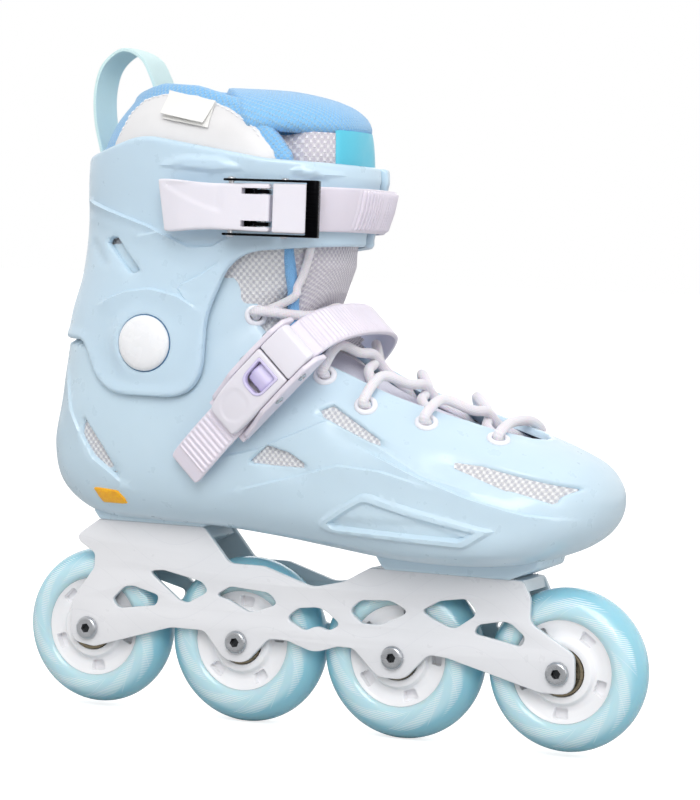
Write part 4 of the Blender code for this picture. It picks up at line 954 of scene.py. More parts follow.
def make_reflectors():
    amber = Shade("reflector_amber", (255, 184, 0), 0.3)
    facets = amber.node("ShaderNodeTexVoronoi", Scale=900.0)
    amber.link(amber.coordinates(), facets.inputs["Vector"])
    amber.colour(amber.mix(amber.ramp(facets.outputs["Distance"], 0.0, 0.9), (255, 192, 4),
                           (248, 172, 0)))
    amber.bump(facets.outputs["Distance"], 0.3, 0.0002)
    amber.put("Coat Weight", 0.4)
    for name, side in (("outer", -1), ("inner", 1)):
        skin = Skin.tube([10.0 + k * 0.05 for k in range(90)], 132)
        skin.split(lambda c: signed(xz(at_shell(c)), REFLECTOR), -0.5)
        skin.split(lambda c: np.maximum(signed(xz(at_shell(c)), REFLECTOR),
                                        -side * at_shell(c)[:, 1]), 0.0, keep=-1)
        skin.tidy()
        at, around = skin.at[:, 0], skin.at[:, 1]
        plain, way = surface(BOOT, at, around), normals(BOOT, at, around)
        base = shell_relief(plain)
        curl = lip(-signed(xz(plain), REFLECTOR), 0.5)
        points = np.vstack([plain + way * (base + 0.75 - curl)[:, None],
                            plain + way * (base - 0.6)[:, None]])
        make(f"reflector_{name}_lens", points, solid_faces(skin), "boot", amber.material,
             (f"reflector_{name}",))


# ---------------------------------------------------------------- turned and extruded pieces
def revolve(profile, centre, steps=96):
    """Points and faces of a closed profile (radius, y) turned about an axis along Y."""
    cx, cz = centre
    points, faces = [], []
    count = len(profile)
    for k in range(steps):
        a = 2 * math.pi * k / steps
        points += [(cx + r * math.cos(a), y, cz + r * math.sin(a)) for r, y in profile]
    for k in range(steps):
        n = (k + 1) % steps
        for i in range(count):
            j = (i + 1) % count
            faces.append((k * count + i, k * count + j, n * count + j, n * count + i))
    return points, faces


def softened(profile, radius=0.4, steps=3):
    """Closed profile with each corner cut back to a small arc."""
    points = []
    count = len(profile)
    for i, spot in enumerate(profile):
        here = Vector(spot[:2])
        r = spot[2] if len(spot) > 2 else radius
        back = Vector(profile[i - 1][:2]) - here
        ahead = Vector(profile[(i + 1) % count][:2]) - here
        reach = min(r, 0.45 * back.length, 0.45 * ahead.length)
        if reach < 1e-3:
            points.append(tuple(here))
            continue
        start, end = here + back.normalized() * reach, here + ahead.normalized() * reach
        for k in range(steps + 1):
            t = k / steps
            points.append(tuple(start * (1 - t) ** 2 + here * 2 * t * (1 - t) + end * t * t))
    return points


def mesh_object(name, points, faces):
    mesh = bpy.data.meshes.new(name)
    mesh.from_pydata([tuple(float(c) * MM for c in p) for p in points], [], faces)
    obj = bpy.data.objects.new(name, mesh)
    bpy.context.scene.collection.objects.link(obj)
    shaped = bmesh.new()
    shaped.from_mesh(mesh)
    bmesh.ops.remove_doubles(shaped, verts=shaped.verts, dist=MERGE)
    bmesh.ops.recalc_face_normals(shaped, faces=shaped.faces)
    if shaped.calc_volume(signed=True) < 0:
        bmesh.ops.reverse_faces(shaped, faces=shaped.faces)
    shaped.to_mesh(mesh)
    shaped.free()
    return obj


def extruded(name, outlines, low, high, bevel=0.4, place=None, flat="XZ", steps=2):
    """Plate with holes and rounded edges; in flat "XZ" it lies upright and low, high are in y."""
    curve = bpy.data.curves.new(name, "CURVE")
    curve.dimensions = "2D"
    curve.fill_mode = "BOTH"
    for outline in outlines:
        spline = curve.splines.new("POLY")
        spline.points.add(len(outline) - 1)
        for point, (a, b) in zip(spline.points, outline):
            point.co = (a * MM, b * MM, 0.0, 1.0)
        spline.use_cyclic_u = True
    bevel = min(bevel, (high - low) * 0.45)
    curve.extrude = ((high - low) / 2 - bevel) * MM
    curve.bevel_depth = bevel * MM
    curve.bevel_resolution = steps
    curve.offset = -bevel * MM
    holder = bpy.data.objects.new(name, curve)
    bpy.context.scene.collection.objects.link(holder)
    bpy.context.view_layer.update()
    mesh = bpy.data.meshes.new_from_object(holder.evaluated_get(
        bpy.context.evaluated_depsgraph_get()))
    bpy.data.objects.remove(holder)
    bpy.data.curves.remove(curve)
    middle = (low + high) / 2 * MM
    if flat == "XZ":
        turn = Matrix(((1, 0, 0, 0), (0, 0, -1, middle), (0, 1, 0, 0), (0, 0, 0, 1)))
    else:
        turn = Matrix.Translation((0, 0, middle))
    mesh.transform((place or Matrix.Identity(4)) @ turn)
    obj = bpy.data.objects.new(name, mesh)
    bpy.context.scene.collection.objects.link(obj)
    shaped = bmesh.new()
    shaped.from_mesh(mesh)
    bmesh.ops.remove_doubles(shaped, verts=shaped.verts, dist=2e-6)
    bmesh.ops.recalc_face_normals(shaped, faces=shaped.faces)
    shaped.to_mesh(mesh)
    shaped.free()
    return obj


def combine(obj, others, operation):
    for other in others:
        modifier = obj.modifiers.new("combine", "BOOLEAN")
        modifier.operation = operation
        modifier.solver = "EXACT"
        modifier.object = other
    apply_modifiers(obj)
    for other in others:
        bpy.data.objects.remove(other)
    return obj


def merge(obj, others):
    """Put several separate closed pieces into one object."""
    shaped = bmesh.new()
    for other in [obj] + list(others):
        shaped.from_mesh(other.data)
    shaped.to_mesh(obj.data)
    shaped.free()
    for other in others:
        bpy.data.objects.remove(other)
    return obj


def done(obj, body, material, replaces=(), slot=None, bevel=0.0):
    """Finish and attach a piece that was made as an object."""
    if bevel:
        modifier = obj.modifiers.new("bevel", "BEVEL")
        modifier.width = bevel * MM
        modifier.segments = 2
        modifier.limit_method = "ANGLE"
        modifier.angle_limit = math.radians(32)
        apply_modifiers(obj)
    finish_mesh(obj, material, MOULDING_SHARP)
    return attach(obj, body, replaces, slot)


# ---------------------------------------------------------------- wheels
def tyre_material(number, x):
    """Clear pale urethane with a band of fine white lines printed on its sides."""
    s = Shade(f"urethane_{number}", (160, 218, 236), 0.2)
    px, _, pz = s.axes()
    dx = s.math("SUBTRACT", px, x * MM)
    dz = s.math("SUBTRACT", pz, AXLE_Z * MM)
    radius = s.math("SQRT", s.plus(s.times(dx, dx), s.times(dz, dz)))
    angle = s.math("ARCTAN2", dz, dx)
    milky = s.ramp(radius, 0.0355, 0.0315)
    hatch = s.sine(s.plus(s.times(dz, 7200.0), s.times(dx, 900.0)))
    field = s.sine(s.plus(s.times(angle, 7.0), s.times(radius, 700.0)))
    band = s.times(s.ramp(radius, 0.0255, 0.0275), s.ramp(radius, 0.0358, 0.0345))
    ink = s.times(s.times(s.ramp(hatch, 0.1, 0.8), s.ramp(field, -0.5, 0.4)), band)
    streak = s.times(s.ramp(s.absolute(s.sine(s.plus(s.times(angle, 5.5),
                                                     s.times(radius, 260.0)))), 0.06, 0.02), band)
    body = s.mix(milky, (150, 206, 222), (192, 226, 236))
    s.colour(s.mix(s.times(s.math("MAXIMUM", ink, s.times(streak, 0.45)), 0.7), body,
                   (250, 253, 255)))
    s.put("Subsurface Weight", 0.55)
    s.put("Subsurface Radius", (0.5, 1.0, 1.3))
    s.put("Subsurface Scale", 0.006)
    s.coat(0.4, 0.12)
    s.bump(s.noise(70.0, 2.0), 0.1, 0.0003)
    return s.material


def tyre_profile(radius):
    arc = np.radians(np.linspace(84, -84, 27))
    outer = [(28 + (radius - 28) * math.cos(a), 12 * math.sin(a)) for a in arc]
    rim = 23.95
    return ([(rim, 10.2), (rim + 0.6, 10.9), (26.0, 11.75), (27.2, 11.95)] + outer
            + [(27.2, -11.95), (26.0, -11.75), (rim + 0.6, -10.9), (rim, -10.2)])


def mirrored(half):
    """A profile's corners (radius, y, rounding) on +y, and then the same on -y."""
    return half + tuple((radius, -y, rounding) for radius, y, rounding in reversed(half))


HUB_PROFILE = mirrored((
    (11.35, 11.6, 0.3), (14.5, 11.6, 0.6), (15.6, 8.8, 0.8), (18.5, 8.4, 1.0),
    (22.4, 9.4, 0.6), (23.93, 10.15, 0.3))) + (
    (11.35, -4.7, 0.0), (6.2, -4.7, 0.0), (6.2, 4.7, 0.0), (11.35, 4.7, 0.0))
BEARING = mirrored(((4.35, 3.5, 0.2), (6.3, 3.5, 0.2), (6.45, 3.15, 0.1), (9.2, 3.0, 0.1),
                    (9.5, 3.5, 0.1), (11.0, 3.5, 0.4)))
HUB_TURN = (28.0, 5.0, 16.0, 36.0)


def make_wheels():
    bronze = metal("bearing_steel", (150, 138, 116), 0.3)
    for number, (x, radius) in enumerate(zip(WHEEL_X, WHEEL_RADIUS), 1):
        body = f"wheel_{number}"
        points, faces = revolve(tyre_profile(radius), (x, AXLE_Z), 128)
        make(f"tyre_{number}_cast", points, faces, body, tyre_material(number, x),
             (f"tyre_{number}",))
        points, faces = revolve(softened(HUB_PROFILE), (x, AXLE_Z), 100)
        hub = mesh_object(f"hub_{number}_moulding", points, faces)
        notches = []
        for k in range(5):
            turn = (Matrix.Translation((x * MM, 0, AXLE_Z * MM)) @ Matrix.Rotation(
                math.radians(72 * k + HUB_TURN[number - 1]), 4, "Y"))
            for low, high in ((5.0, 14.0), (-14.0, -5.0)):
                notches.append(extruded(f"notch_{k}", [rounded(
                    ((-3.1, 16.6, 0.8), (3.1, 16.6, 0.8), (4.1, 21.8, 1.2), (-4.1, 21.8, 1.2)),
                    3)],
                    low, high, 0.1, turn))
        combine(hub, notches, "DIFFERENCE")
        done(hub, body, HUB_WHITE, (f"hub_{number}",), bevel=0.25)
        for side, sign in (("outer", -1), ("inner", 1)):
            profile = [(r, y + sign * 8.5) for r, y in softened(BEARING, 0.2, 2)]
            points, faces = revolve(profile, (x, AXLE_Z), 72)
            make(f"bearing_{side}_{number}_race", points, faces, body, bronze,
                 (f"bearing_{side}_{number}",))
        # Axle: a low domed head with a socket, and its shaft.
        points, faces = revolve(softened([
            (0.02, -18.5, 0.0), (4.3, -18.8, 0.5), (5.2, -18.3, 0.5), (5.6, -17.3, 0.4),
            (5.6, -16.4, 0.2), (4.0, -16.35, 0.0), (4.0, 16.0, 0.3), (0.02, 16.0, 0.0)], 0.3),
            (x, AXLE_Z), 72)
        axle = mesh_object(f"axle_{number}_bolt", points, faces)
        hexagon = [(x + 2.4 * math.cos(math.radians(60 * k + 10)),
                    AXLE_Z + 2.4 * math.sin(math.radians(60 * k + 10))) for k in range(6)]
        combine(axle, [extruded("socket", [hexagon], -22.0, -15.2, 0.05)], "DIFFERENCE")
        done(axle, "boot", STEEL, (f"axle_{number}",), bevel=0.15)
        # Dark disc at the bottom of the socket: painted shade in the recess.
        socket = Shade(f"socket_shadow_{number}", (12, 18, 24), 0.5)
        points, faces = revolve([(0.02, -16.2), (2.0, -16.2), (2.0, -15.7), (0.02, -15.7)],
                                (x, AXLE_Z), 24)
        make(f"axle_{number}_socket_shadow_disc", points, faces, "boot", socket.material,
             slot=f"axle_{number}")


# ---------------------------------------------------------------- wheel frame
FRAME_OUTLINE = (
    (-117, 94, 3), (-131, 84, 4), (-119, 77, 3), (-119, 70, 5), (-131, 53, 6),
    (-131, 33, 8), (-118, 31, 8), (-76, 44, 12), (-58, 44, 6), (-47, 31, 9),
    (-36, 30, 9), (-24, 43, 6), (-14, 43, 10), (0, 38.5, 14), (12, 42.5, 6),
    (20, 42.5, 6), (33, 30, 9), (46, 30, 9), (58, 43, 7), (68, 42, 10),
    (113, 30.5, 8), (130, 30.5, 9), (129, 49, 6), (107, 62, 6), (107, 73, 5),
    (103, 81, 3), (27, 81, 4), (14, 73.5, 16), (-2, 69.5, 14), (-28, 77.5, 8),
    (-46, 77.5, 6), (-60, 94, 4),
)
FRAME_WINDOWS = (
    ((-109, 55, 1.5), (-102, 62, 3), (-97, 62.5, 2), (-83, 59, 1.5), (-84.5, 54, 1.5),
     (-105, 51, 2)),
    ((-89.5, 70.5, 1.5), (-81, 71.5, 3), (-60, 67.5, 3), (-56.5, 63, 2), (-67.5, 56.5, 2.5),
     (-72, 57.5, 2)),
    ((-53, 61.5, 1.5), (-45, 66.5, 3), (-24, 65, 3), (-19.5, 60, 2), (-34, 54.5, 3),
     (-46, 60, 3)),
    ((-15.5, 53.5, 1.5), (-9, 59, 3), (3, 60.5, 5), (13.5, 53, 1.5), (7, 49.5, 2),
     (1, 51.5, 3), (-5, 48.5, 2)),
    ((17, 60, 1.5), (23, 65.5, 3), (38, 66.5, 4), (48.5, 62, 1.5), (33, 54.5, 4),
     (24, 54.5, 2)),
    ((53.5, 63, 1.5), (63, 68.5, 4), (76, 70.5, 2), (82, 64, 1.5), (70, 55.5, 3),
     (59, 60, 3)),
    ((80, 54.5, 1.5), (82, 59, 2), (97, 62, 4), (105.5, 55, 1.5), (103.5, 50.5, 1.5),
     (93, 52.5, 3)),
)


def frame_material():
    """Satin white coat over aluminium, with faint hairline curves engraved on the plates."""
    s = Shade("frame_coat", (234, 234, 237), 0.34, 0.0)
    x, y, z = s.axes()
    arcs = s.sine(s.plus(s.times(z, 260.0), s.times(s.sine(s.times(x, 62.0)), 3.2)))
    line = s.ramp(s.absolute(arcs), 0.05, 0.0)
    face = s.ramp(s.absolute(y), 0.01585, 0.01598)
    engraved = s.times(line, face)
    base, worn = linear((234, 234, 237)), linear((229, 230, 234))
    tone = s.mix(s.ramp(s.noise(9.0, 2.0), 0.3, 0.7), base, worn)
    shown = s.mix(s.times(engraved, 0.22), tone, (196, 200, 212))
    # Between the plates the faces are painted a cool grey: painted shade and reflection, not the
    # coat's own colour.
    between_plates_shade = s.ramp(s.absolute(y), 0.0153, 0.0149)
    s.colour(s.mix(between_plates_shade, shown, (204, 214, 220)))
    s.roughness(s.noise(120.0, 3.0), 0.27, 0.4)
    s.bump(s.math("SUBTRACT", 1.0, engraved), 0.3, 0.0002)
    s.bump(s.noise(700.0, 2.0), 0.06, 0.0001)
    s.coat(0.3, 0.15)
    return s.material


def make_frame():
    outline = [rounded(FRAME_OUTLINE, 6)] + [rounded(tuple((x, z, r * 2.3) for x, z, r in w), 8)
                                             for w in FRAME_WINDOWS]
    plate = extruded("frame_plates", outline, -16.0, -13.0, 0.45)
    parts = [extruded("far_plate", outline, 13.0, 16.0, 0.45)]
    for corners in (((-116, 94, 0), (-121, 88, 0), (-114, 85, 2), (-65, 85, 2), (-57, 89, 1),
                     (-61, 94, 0)),
                    ((27, 81, 0), (21, 76, 1), (105, 74, 0), (103, 81, 0))):
        deck = extruded("deck", [rounded(corners, 3)], -14.5, 14.5, 0.1)
        wells = []
        for x, radius in zip(WHEEL_X, WHEEL_RADIUS):
            if (x < 0) == (corners[0][0] < 0):
                points, faces = revolve([(0.02, -30), (radius + 1.6, -30), (radius + 1.6, 30),
                                         (0.02, 30)], (x, AXLE_Z), 96)
                wells.append(mesh_object("well", points, faces))
        parts.append(combine(deck, wells, "DIFFERENCE"))
    for x in WHEEL_X:
        for sign in (-1, 1):
            points, faces = revolve([(4.5, sign * 12.35), (6.0, sign * 12.35), (6.0, sign * 14.0),
                                     (4.5, sign * 14.0)], (x, AXLE_Z), 48)
            parts.append(mesh_object("boss", points, faces))
    combine(plate, parts, "UNION")
    holes = []
    for x in WHEEL_X:
        points, faces = revolve([(0.02, -30), (4.35, -30), (4.35, 30), (0.02, 30)], (x, AXLE_Z),
                                48)
        holes.append(mesh_object("axle_hole", points, faces))
    combine(plate, holes, "DIFFERENCE")
    done(plate, "boot", frame_material(), ("frame",))
    # Knurled edges where the boot sits on the frame.
    points, faces = [], []
    for start, end, height in ((-114.0, -62.0, 94.0), (29.0, 101.0, 81.0)):
        for k in range(int((end - start) / 1.25)):
            for y in (-15.6, 15.0):
                x = start + k * 1.25
                base = len(points)
                points += [(x, y, height - 0.2), (x + 0.7, y, height - 0.2),
                           (x + 0.7, y + 0.6, height - 0.2), (x, y + 0.6, height - 0.2),
                           (x + 0.15, y + 0.1, height + 0.32), (x + 0.55, y + 0.1, height + 0.32),
                           (x + 0.55, y + 0.5, height + 0.32), (x + 0.15, y + 0.5, height + 0.32)]
                faces += [tuple(base + i for i in f) for f in (
                    (3, 2, 1, 0), (4, 5, 6, 7), (0, 1, 5, 4), (1, 2, 6, 5), (2, 3, 7, 6),
                    (3, 0, 4, 7))]
    make("frame_knurling", points, faces, "boot", STEEL, slot="frame", outward=False)


# ---------------------------------------------------------------- pivots and steel fittings
def make_caps():
    for name, side in (("outer", -1), ("inner", 1)):
        base = side * 45.6
        profile = [(0.02, base), (13.1, base), (13.2, base + side * 0.5), (13.1,
                                                            base + side * 1.3),
                   (12.4, base + side * 2.3), (11.2, base + side * 3.0), (9.0, base + side * 3.7),
                   (6.0, base + side * 4.25), (3.0, base + side * 4.5), (0.02, base + side * 4.6)]
        points, faces = revolve(profile, PIVOT, 96)
        make(f"pivot_{name}_dome", points, faces, "boot", CAP_WHITE, (f"pivot_cap_{name}",))
        # Dark blue ring in the gap round the cap: a painted shadow.
        points, faces = revolve([(13.15, base - side * 0.7), (13.75, base - side * 0.7),
                                 (13.75, base + side * 0.12), (13.15, base + side * 0.12)],
                                PIVOT, 96)
        make(f"pivot_{name}_gap", points, faces, "boot", PAINTED_GAP_SHADOW, slot=f"pivot_cap_{name}")
    for name in ("pivot_bolt_outer", "pivot_bolt_inner", "mount_bolt_rear", "mount_bolt_front",
                 "spacer_1", "spacer_2", "spacer_3", "spacer_4", "top_strap_screw",
                 "instep_strap_screw", "instep_buckle_screw", "top_buckle_pin", "bail_pin",
                 "instep_lever_pin", "instep_pawl_pin"):
        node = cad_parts[name]
        node.data.materials.clear()
        node.data.materials.append(STEEL)


# ---------------------------------------------------------------- cords and bands
def smooth_route(spots, step):
    """Evenly spaced points on a smooth curve through a few spots."""
    spots = np.array([tuple(s) for s in spots], float)
    count = len(spots) - 1
    fine = between(spots, np.linspace(0, count, count * 24 + 1))
    far = lengths_along(fine)
    places = np.linspace(0.0, far[-1], max(2, round(far[-1] / step)) + 1)
    return np.stack([np.interp(places, far, fine[:, k]) for k in range(3)], 1), places


def tube_mesh(route, radius, sides=20):
    """Points, faces and flat map of a round cord along a route, its ends closed."""
    spots, places = smooth_route(route, 1.1)
    ahead = np.gradient(spots, axis=0)
    ahead /= np.linalg.norm(ahead, axis=1)[:, None]
    way = np.cross(ahead[0], (0.0, 0.0, 1.0))
    points, flat, faces = [], [], []
    count = sides + 1
    for k, (spot, along) in enumerate(zip(spots, ahead)):
        way = way - along * float(way @ along)
        way /= np.linalg.norm(way)
        other = np.cross(along, way)
        for i in range(count):
            a = 2 * math.pi * i / sides
            points.append(spot + radius * (way * math.cos(a) + other * math.sin(a)))
            flat.append((places[k], radius * a))
        if k:
            base = (k - 1) * count
            faces += [(base + i, base + i + 1, base + count + i + 1, base + count + i)
                      for i in range(sides)]
    for spot, ring in ((spots[0], 0), (spots[-1], (len(spots) - 1) * count)):
        points.append(spot)
        flat.append(flat[ring])
        faces += [(ring + i, ring + i + 1, len(points) - 1) for i in range(sides)]
    return points, faces, flat


BRAID_PITCH = 1.5


def braided(name, color):
    """Tubular braid: two sets of fine strands crossing at a slant."""
    s = Shade(name, color, 0.78)
    u, v, _ = s.axes("UV")
    one = s.sine(s.times(s.plus(u, v), 2 * math.pi * 10 / BRAID_PITCH))
    two = s.sine(s.times(s.math("SUBTRACT", u, v), 2 * math.pi * 10 / BRAID_PITCH))
    weave = s.times(one, two)
    base = linear(color)
    s.colour(s.mix(s.ramp(weave, -0.8, 0.8), dimmed(base, 0.88), base))
    s.bump(weave, 0.45, 0.0003)
    s.put("Sheen Weight", 0.4)
    s.put("Subsurface Weight", 0.15)
    s.put("Subsurface Scale", 0.002)
    return s.material


def lace_spot(at, around, offset, side):
    place = around if side > 0 else 2.0 - around
    return surface(BOOT, np.array([float(at)]), np.array([float(place)]), offset, False)[0]


def on_tongue(at, around, lift, side):
    place = around if side > 0 else 2.0 - around
    offset = float(tongue_offset(at)) + lift
    return surface(FOOT, np.array([float(at)]), np.array([float(place)]), offset, False)[0]


def lace_route():
    """Tail on the outer side, down to the toe, across, and back up to the inner tail."""
    def half(side):
        top = EYELETS[-1]
        spots = [lace_spot(top[0] + 0.75, top[1] * 0.80, -5.9, side),
                 lace_spot(top[0] + 0.3, top[1] * 0.95, -5.9, side),
                 lace_spot(top[0], top[1], -5.4, side)]
        for step in range(len(EYELETS) - 1, 0, -1):
            (at_up, up), (at_low, low) = EYELETS[step], EYELETS[step - 1]
            if step == len(EYELETS) - 1:
                # The top cross lies over the tongue, which stands proud of the flaps here.
                high = 7.2 if side < 0 else 2.8
                spots += [lace_spot(at_up, up, 0.0, side), lace_spot(at_up, up, 4.2, side),
                          on_tongue(13.0, 0.17, 3.0, side), on_tongue(12.2, 0.09, 3.0, side),
                          on_tongue(11.5, 0.0, high, side), on_tongue(10.8, 0.09, 3.0, -side),
                          on_tongue(10.0, 0.17, 2.8, -side),
                          lace_spot(at_low + 0.3, low * 0.82, -5.9, -side),
                          lace_spot(at_low, low, -5.7, -side)]
                side = -side
                continue
            middle = 0.6 if side < 0 else -4.4
            mean, drift = (at_up + at_low) / 2, (at_up - at_low) / 10
            spots += [lace_spot(at_up, up, 0.0, side), lace_spot(at_up, up, 4.2, side),
                      lace_spot(at_up - drift, up * 0.58, 5.6, side),
                      lace_spot(mean + drift, up * 0.30, middle * 0.5 + 1.4, side),
                      lace_spot(mean, 0.0, middle, side),
                      lace_spot(mean - drift, low * 0.30, min(middle, -4.6), -side),
                      lace_spot(at_low + drift, low * 0.60, -5.9, -side),
                      lace_spot(at_low, low, -5.7, -side)]
            side = -side
        return spots, side
    first, end_side = half(-1)
    second, _ = half(1)
    at, around = EYELETS[0]
    bar = [lace_spot(at, around, 0.0, end_side), lace_spot(at, around, 2.9, end_side),
           lace_spot(at, around * 0.5, 3.0, end_side), lace_spot(at, 0.0, 2.6, end_side),
           lace_spot(at, around * 0.5, 3.0, -end_side), lace_spot(at, around, 2.9, -end_side),
           lace_spot(at, around, 0.0, -end_side)]
    return first + bar + second[::-1]


def make_lace():
    lace_white = braided("lace_cotton", (244, 240, 246))
    points, faces, flat = tube_mesh(lace_route(), 2.4)
    make("lace_cord", points, faces, "boot", lace_white, ("lace",), uv=flat, sharp=80,
         outward=False)
    # Free tail that lies up the tongue from the outer side's top eyelet.
    tail = [lace_spot(14.4, 0.25, -5.0, -1)] + [on_tongue(at, around, 2.4, -1) for at, around in (
        (15.4, 0.226), (16.4, 0.215), (17.4, 0.207), (18.4, 0.200), (19.3, 0.196))]
    points, faces, flat = tube_mesh(tail, 2.0)
    obj = loose("lace_tail", points, faces, lace_white, flat, 80)
    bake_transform(obj)


def facing(spot, normal):
    """Place whose Z is the given normal."""
    turn = Vector(normal).to_track_quat("Z", "X").to_matrix().to_4x4()
    return Matrix.Translation(spot) @ turn


def make_eyelets():
    profile = softened([(2.9, -3.2, 0.0), (2.9, 0.7, 0.5), (3.7, 1.25, 0.6), (4.9, 1.1, 0.6),
                        (5.6, 0.2, 0.4), (5.5, -0.5, 0.0), (3.5, -0.5, 0.2), (3.4, -3.2, 0.0)],
                        0.4)
    # Dark cups set inside the eyelet holes: painted shade in the holes.
    well = [(0.03, -3.4), (2.85, -3.4), (2.85, -0.6), (2.6, -0.6), (2.6, -3.0), (0.03, -3.0)]
    for name, ring, material in (("eyelet_rings", profile, EYELET_WHITE),
                                 ("eyelet_shadow_wells", well, Shade("eyelet_shadow", (48, 46, 50),
                                                              0.7).material)):
        points, faces = [], []
        for spot, normal in eyelet_spots():
            turned, quads = revolve(ring, (0.0, 0.0), 44)
            place = facing(spot, normal)
            base = len(points)
            points += [place @ Vector((x, z, y)) for x, y, z in turned]
            faces += [tuple(base + i for i in f) for f in quads]
        make(name, points, faces, "boot", material, slot="shell")


def ribbon_mesh(columns, rows):
    """Closed band from a grid of outer points and a grid of inner points, rows across."""
    outer, inner = columns, rows
    count, across = len(outer), len(outer[0])
    points = [p for row in outer for p in row] + [p for row in inner for p in row]
    size = count * across
    faces = []
    for k in range(count - 1):
        for i in range(across - 1):
            a = k * across + i
            faces.append((a, a + 1, a + across + 1, a + across))
            b = size + a
            faces.append((b + across, b + across + 1, b + 1, b))
        a, b = k * across, k * across + across - 1
        faces += [(a + size, a, a + across, a + across + size),
                  (b, b + size, b + across + size, b + across)]
    for i in range(across - 1):
        a, b = i, (count - 1) * across + i
        faces += [(a + 1, a, a + size, a + 1 + size), (b, b + 1, b + 1 + size, b + size)]
    return points, faces


def cross_profile(width, thickness, corner=0.8):
    """(across, share of thickness lost) for the outer face of a strap with rounded edges."""
    half = width / 2
    spots = [(-half, thickness * 0.5)]
    for k in range(1, 5):
        a = math.radians(90 * k / 4)
        spots.append((-half + corner * (1 - math.cos(a)), corner * (1 - math.sin(a)) * 0.9))
    spots += [(-half + 1.5, 0.0), (-half + 2.1, 0.0), (0.0, 0.0)]
    return spots + [(-a, loss) for a, loss in reversed(spots[:-1])]


def rib(place, pitch, sharp=0.28):
    """Height of a row of rounded ribs, 0 to 1."""
    wave = np.abs(((place / pitch) % 1.0) - 0.5) * 2.0
    return float(smooth_step(wave, 0.5 - sharp, 0.5 + sharp))


# ---------------------------------------------------------------- top strap and buckle
def make_top_strap():
    stops = ((-0.34, 2.0), (-0.30, 2.4), (-0.26, 2.6), (-0.22, 2.4), (-0.18, 1.8), (-0.14, 1.4),
             (-0.10, 1.2), (0.42, 1.2))
    around = np.linspace(-0.34, 0.42, 620)
    offsets = np.interp(around, [s[0] for s in stops], [s[1] for s in stops])
    middle = surface(CUFF, np.full(len(around), 6.22), around, offsets, False)
    far = lengths_along(middle)
    front = float(np.interp(0.0, around, far))
    profile = cross_profile(20.0, STRAP_THICKNESS)
    outer, inner = [], []
    for place, offset, done_far in zip(around, offsets, far):
        row_out, row_in = [], []
        ends = min(done_far, far[-1] - done_far)
        tip = lip(np.array([ends]), 1.6)[0] * 0.7
        share = math.sqrt(max(0.0, 1 - (max(0.0, 3.5 - ends) / 3.5) ** 2))
        near_front = float(smooth_step(done_far, front - 22.0, front - 18.0)
                           * (1 - smooth_step(done_far, front + 26.0, front + 30.0)))
        rise = rib(done_far - front, 2.6, 0.2) * near_front
        for across, loss in profile:
            at = 6.225 + 1.55 * across / 20.0 * (0.82 + 0.18 * share)
            bump = 1.05 * rise * float(smooth_step(9.2 - abs(across), 0.0, 0.9))
            height = STRAP_THICKNESS - 0.35 - loss + bump - tip
            row_out.append((at, place, offset + height))
            row_in.append((at, place, offset + min(loss * 0.15, 0.3)))
        outer.append(row_out)
        inner.append(row_in)
    grids = []
    for grid in (outer, inner):
        flat = np.array(grid).reshape(-1, 3)
        spots = surface(CUFF, flat[:, 0], flat[:, 1], flat[:, 2], False)
        grids.append(spots.reshape(len(grid), len(profile), 3))
    points, faces = ribbon_mesh(grids[0], grids[1])
    make("top_strap_moulded", points, faces, "cuff", STRAP, ("top_strap",), sharp=34)
    # Screw that holds its fixed end on the inner side.
    spot, normal = surface_spot(CUFF, 6.225, 0.40, 2.0)
    points, faces = domed_screw(5.0, 3.2)
    place = facing(spot, normal)
    make("top_strap_screw_head", [place @ Vector(p) for p in points], faces, "cuff", STEEL,
         slot="top_strap_screw")


def domed_screw(radius, height):
    profile = [(0.02, height - 0.9), (radius * 0.28, height - 0.9), (radius * 0.3, height),
               (radius * 0.6, height - 0.1), (radius * 0.85, height - 0.5),
               (radius, height - 1.2), (radius, height - 2.2), (0.02, height - 2.2)]
    points, faces = revolve(profile, (0.0, 0.0), 40)
    return [(x, z, y) for x, y, z in points], faces


def bar_loft(name, stations, place, body, material, replaces=(), slot=None, dent=None, cuts=(),
             shear=0.0):
    """Bar along x: stations are (x, half height, outer y, inner y, corner); -y faces out."""
    stations = np.array(stations, float)
    count = max(3, int((stations[-1, 0] - stations[0, 0]) / 0.8))
    order = np.linspace(0, len(stations) - 1, count * 2 + 1)
    rows = between(stations, order)
    rings = []
    for x, half, out, inn, corner in rows:
        half = max(half, 0.3)
        corner = max(0.05, min(corner, half * 0.9, abs(inn - out) * 0.48))
        ring = []
        for cz, cy, start in ((half - corner, out + corner, 0), (-half + corner, out + corner, 90),
                              (-half + corner, inn - corner, 180), (half - corner, inn - corner,
                                                            270)):
            for k in range(5):
                a = math.radians(start + 90 * k / 4)
                ring.append((cz + corner * math.cos(a), cy - corner * math.sin(a)))
            if start == 0:
                ring += [((half - corner) * (1 - 2 * t), out) for t in np.linspace(0.06, 0.94, 17)]
        rings.append([(x + shear * z * max(0.0, (rows[0][0] + 10 - x) / 10), y, z)
                      for z, y in ring])
    points = [p for ring in rings for p in ring]
    size = len(rings[0])
    if dent:
        points = [(x, y + dent(x, z, y), z) for x, y, z in points]
    faces = []
    for k in range(len(rings) - 1):
        for i in range(size):
            a, b = k * size + i, k * size + (i + 1) % size
            faces.append((a, b, b + size, a + size))
    faces += [tuple(range(size)), tuple(range((len(rings) - 1) * size, len(rings) * size))[::-1]]
    obj = mesh_object(name, [place @ Vector(p) for p in points], faces)
    if cuts:
        combine(obj, list(cuts), "DIFFERENCE")
    return done(obj, body, material, replaces, slot)


def rounded_box(name, outline, low, high, bevel, place):
    """Block of an outline in x, y between two heights z, in a buckle's frame."""
    metres = Matrix.Translation(Vector(place.translation) * MM) @ place.to_3x3().to_4x4()
    return extruded(name, [rounded(outline, 4)], low, high, bevel, metres, "XY")


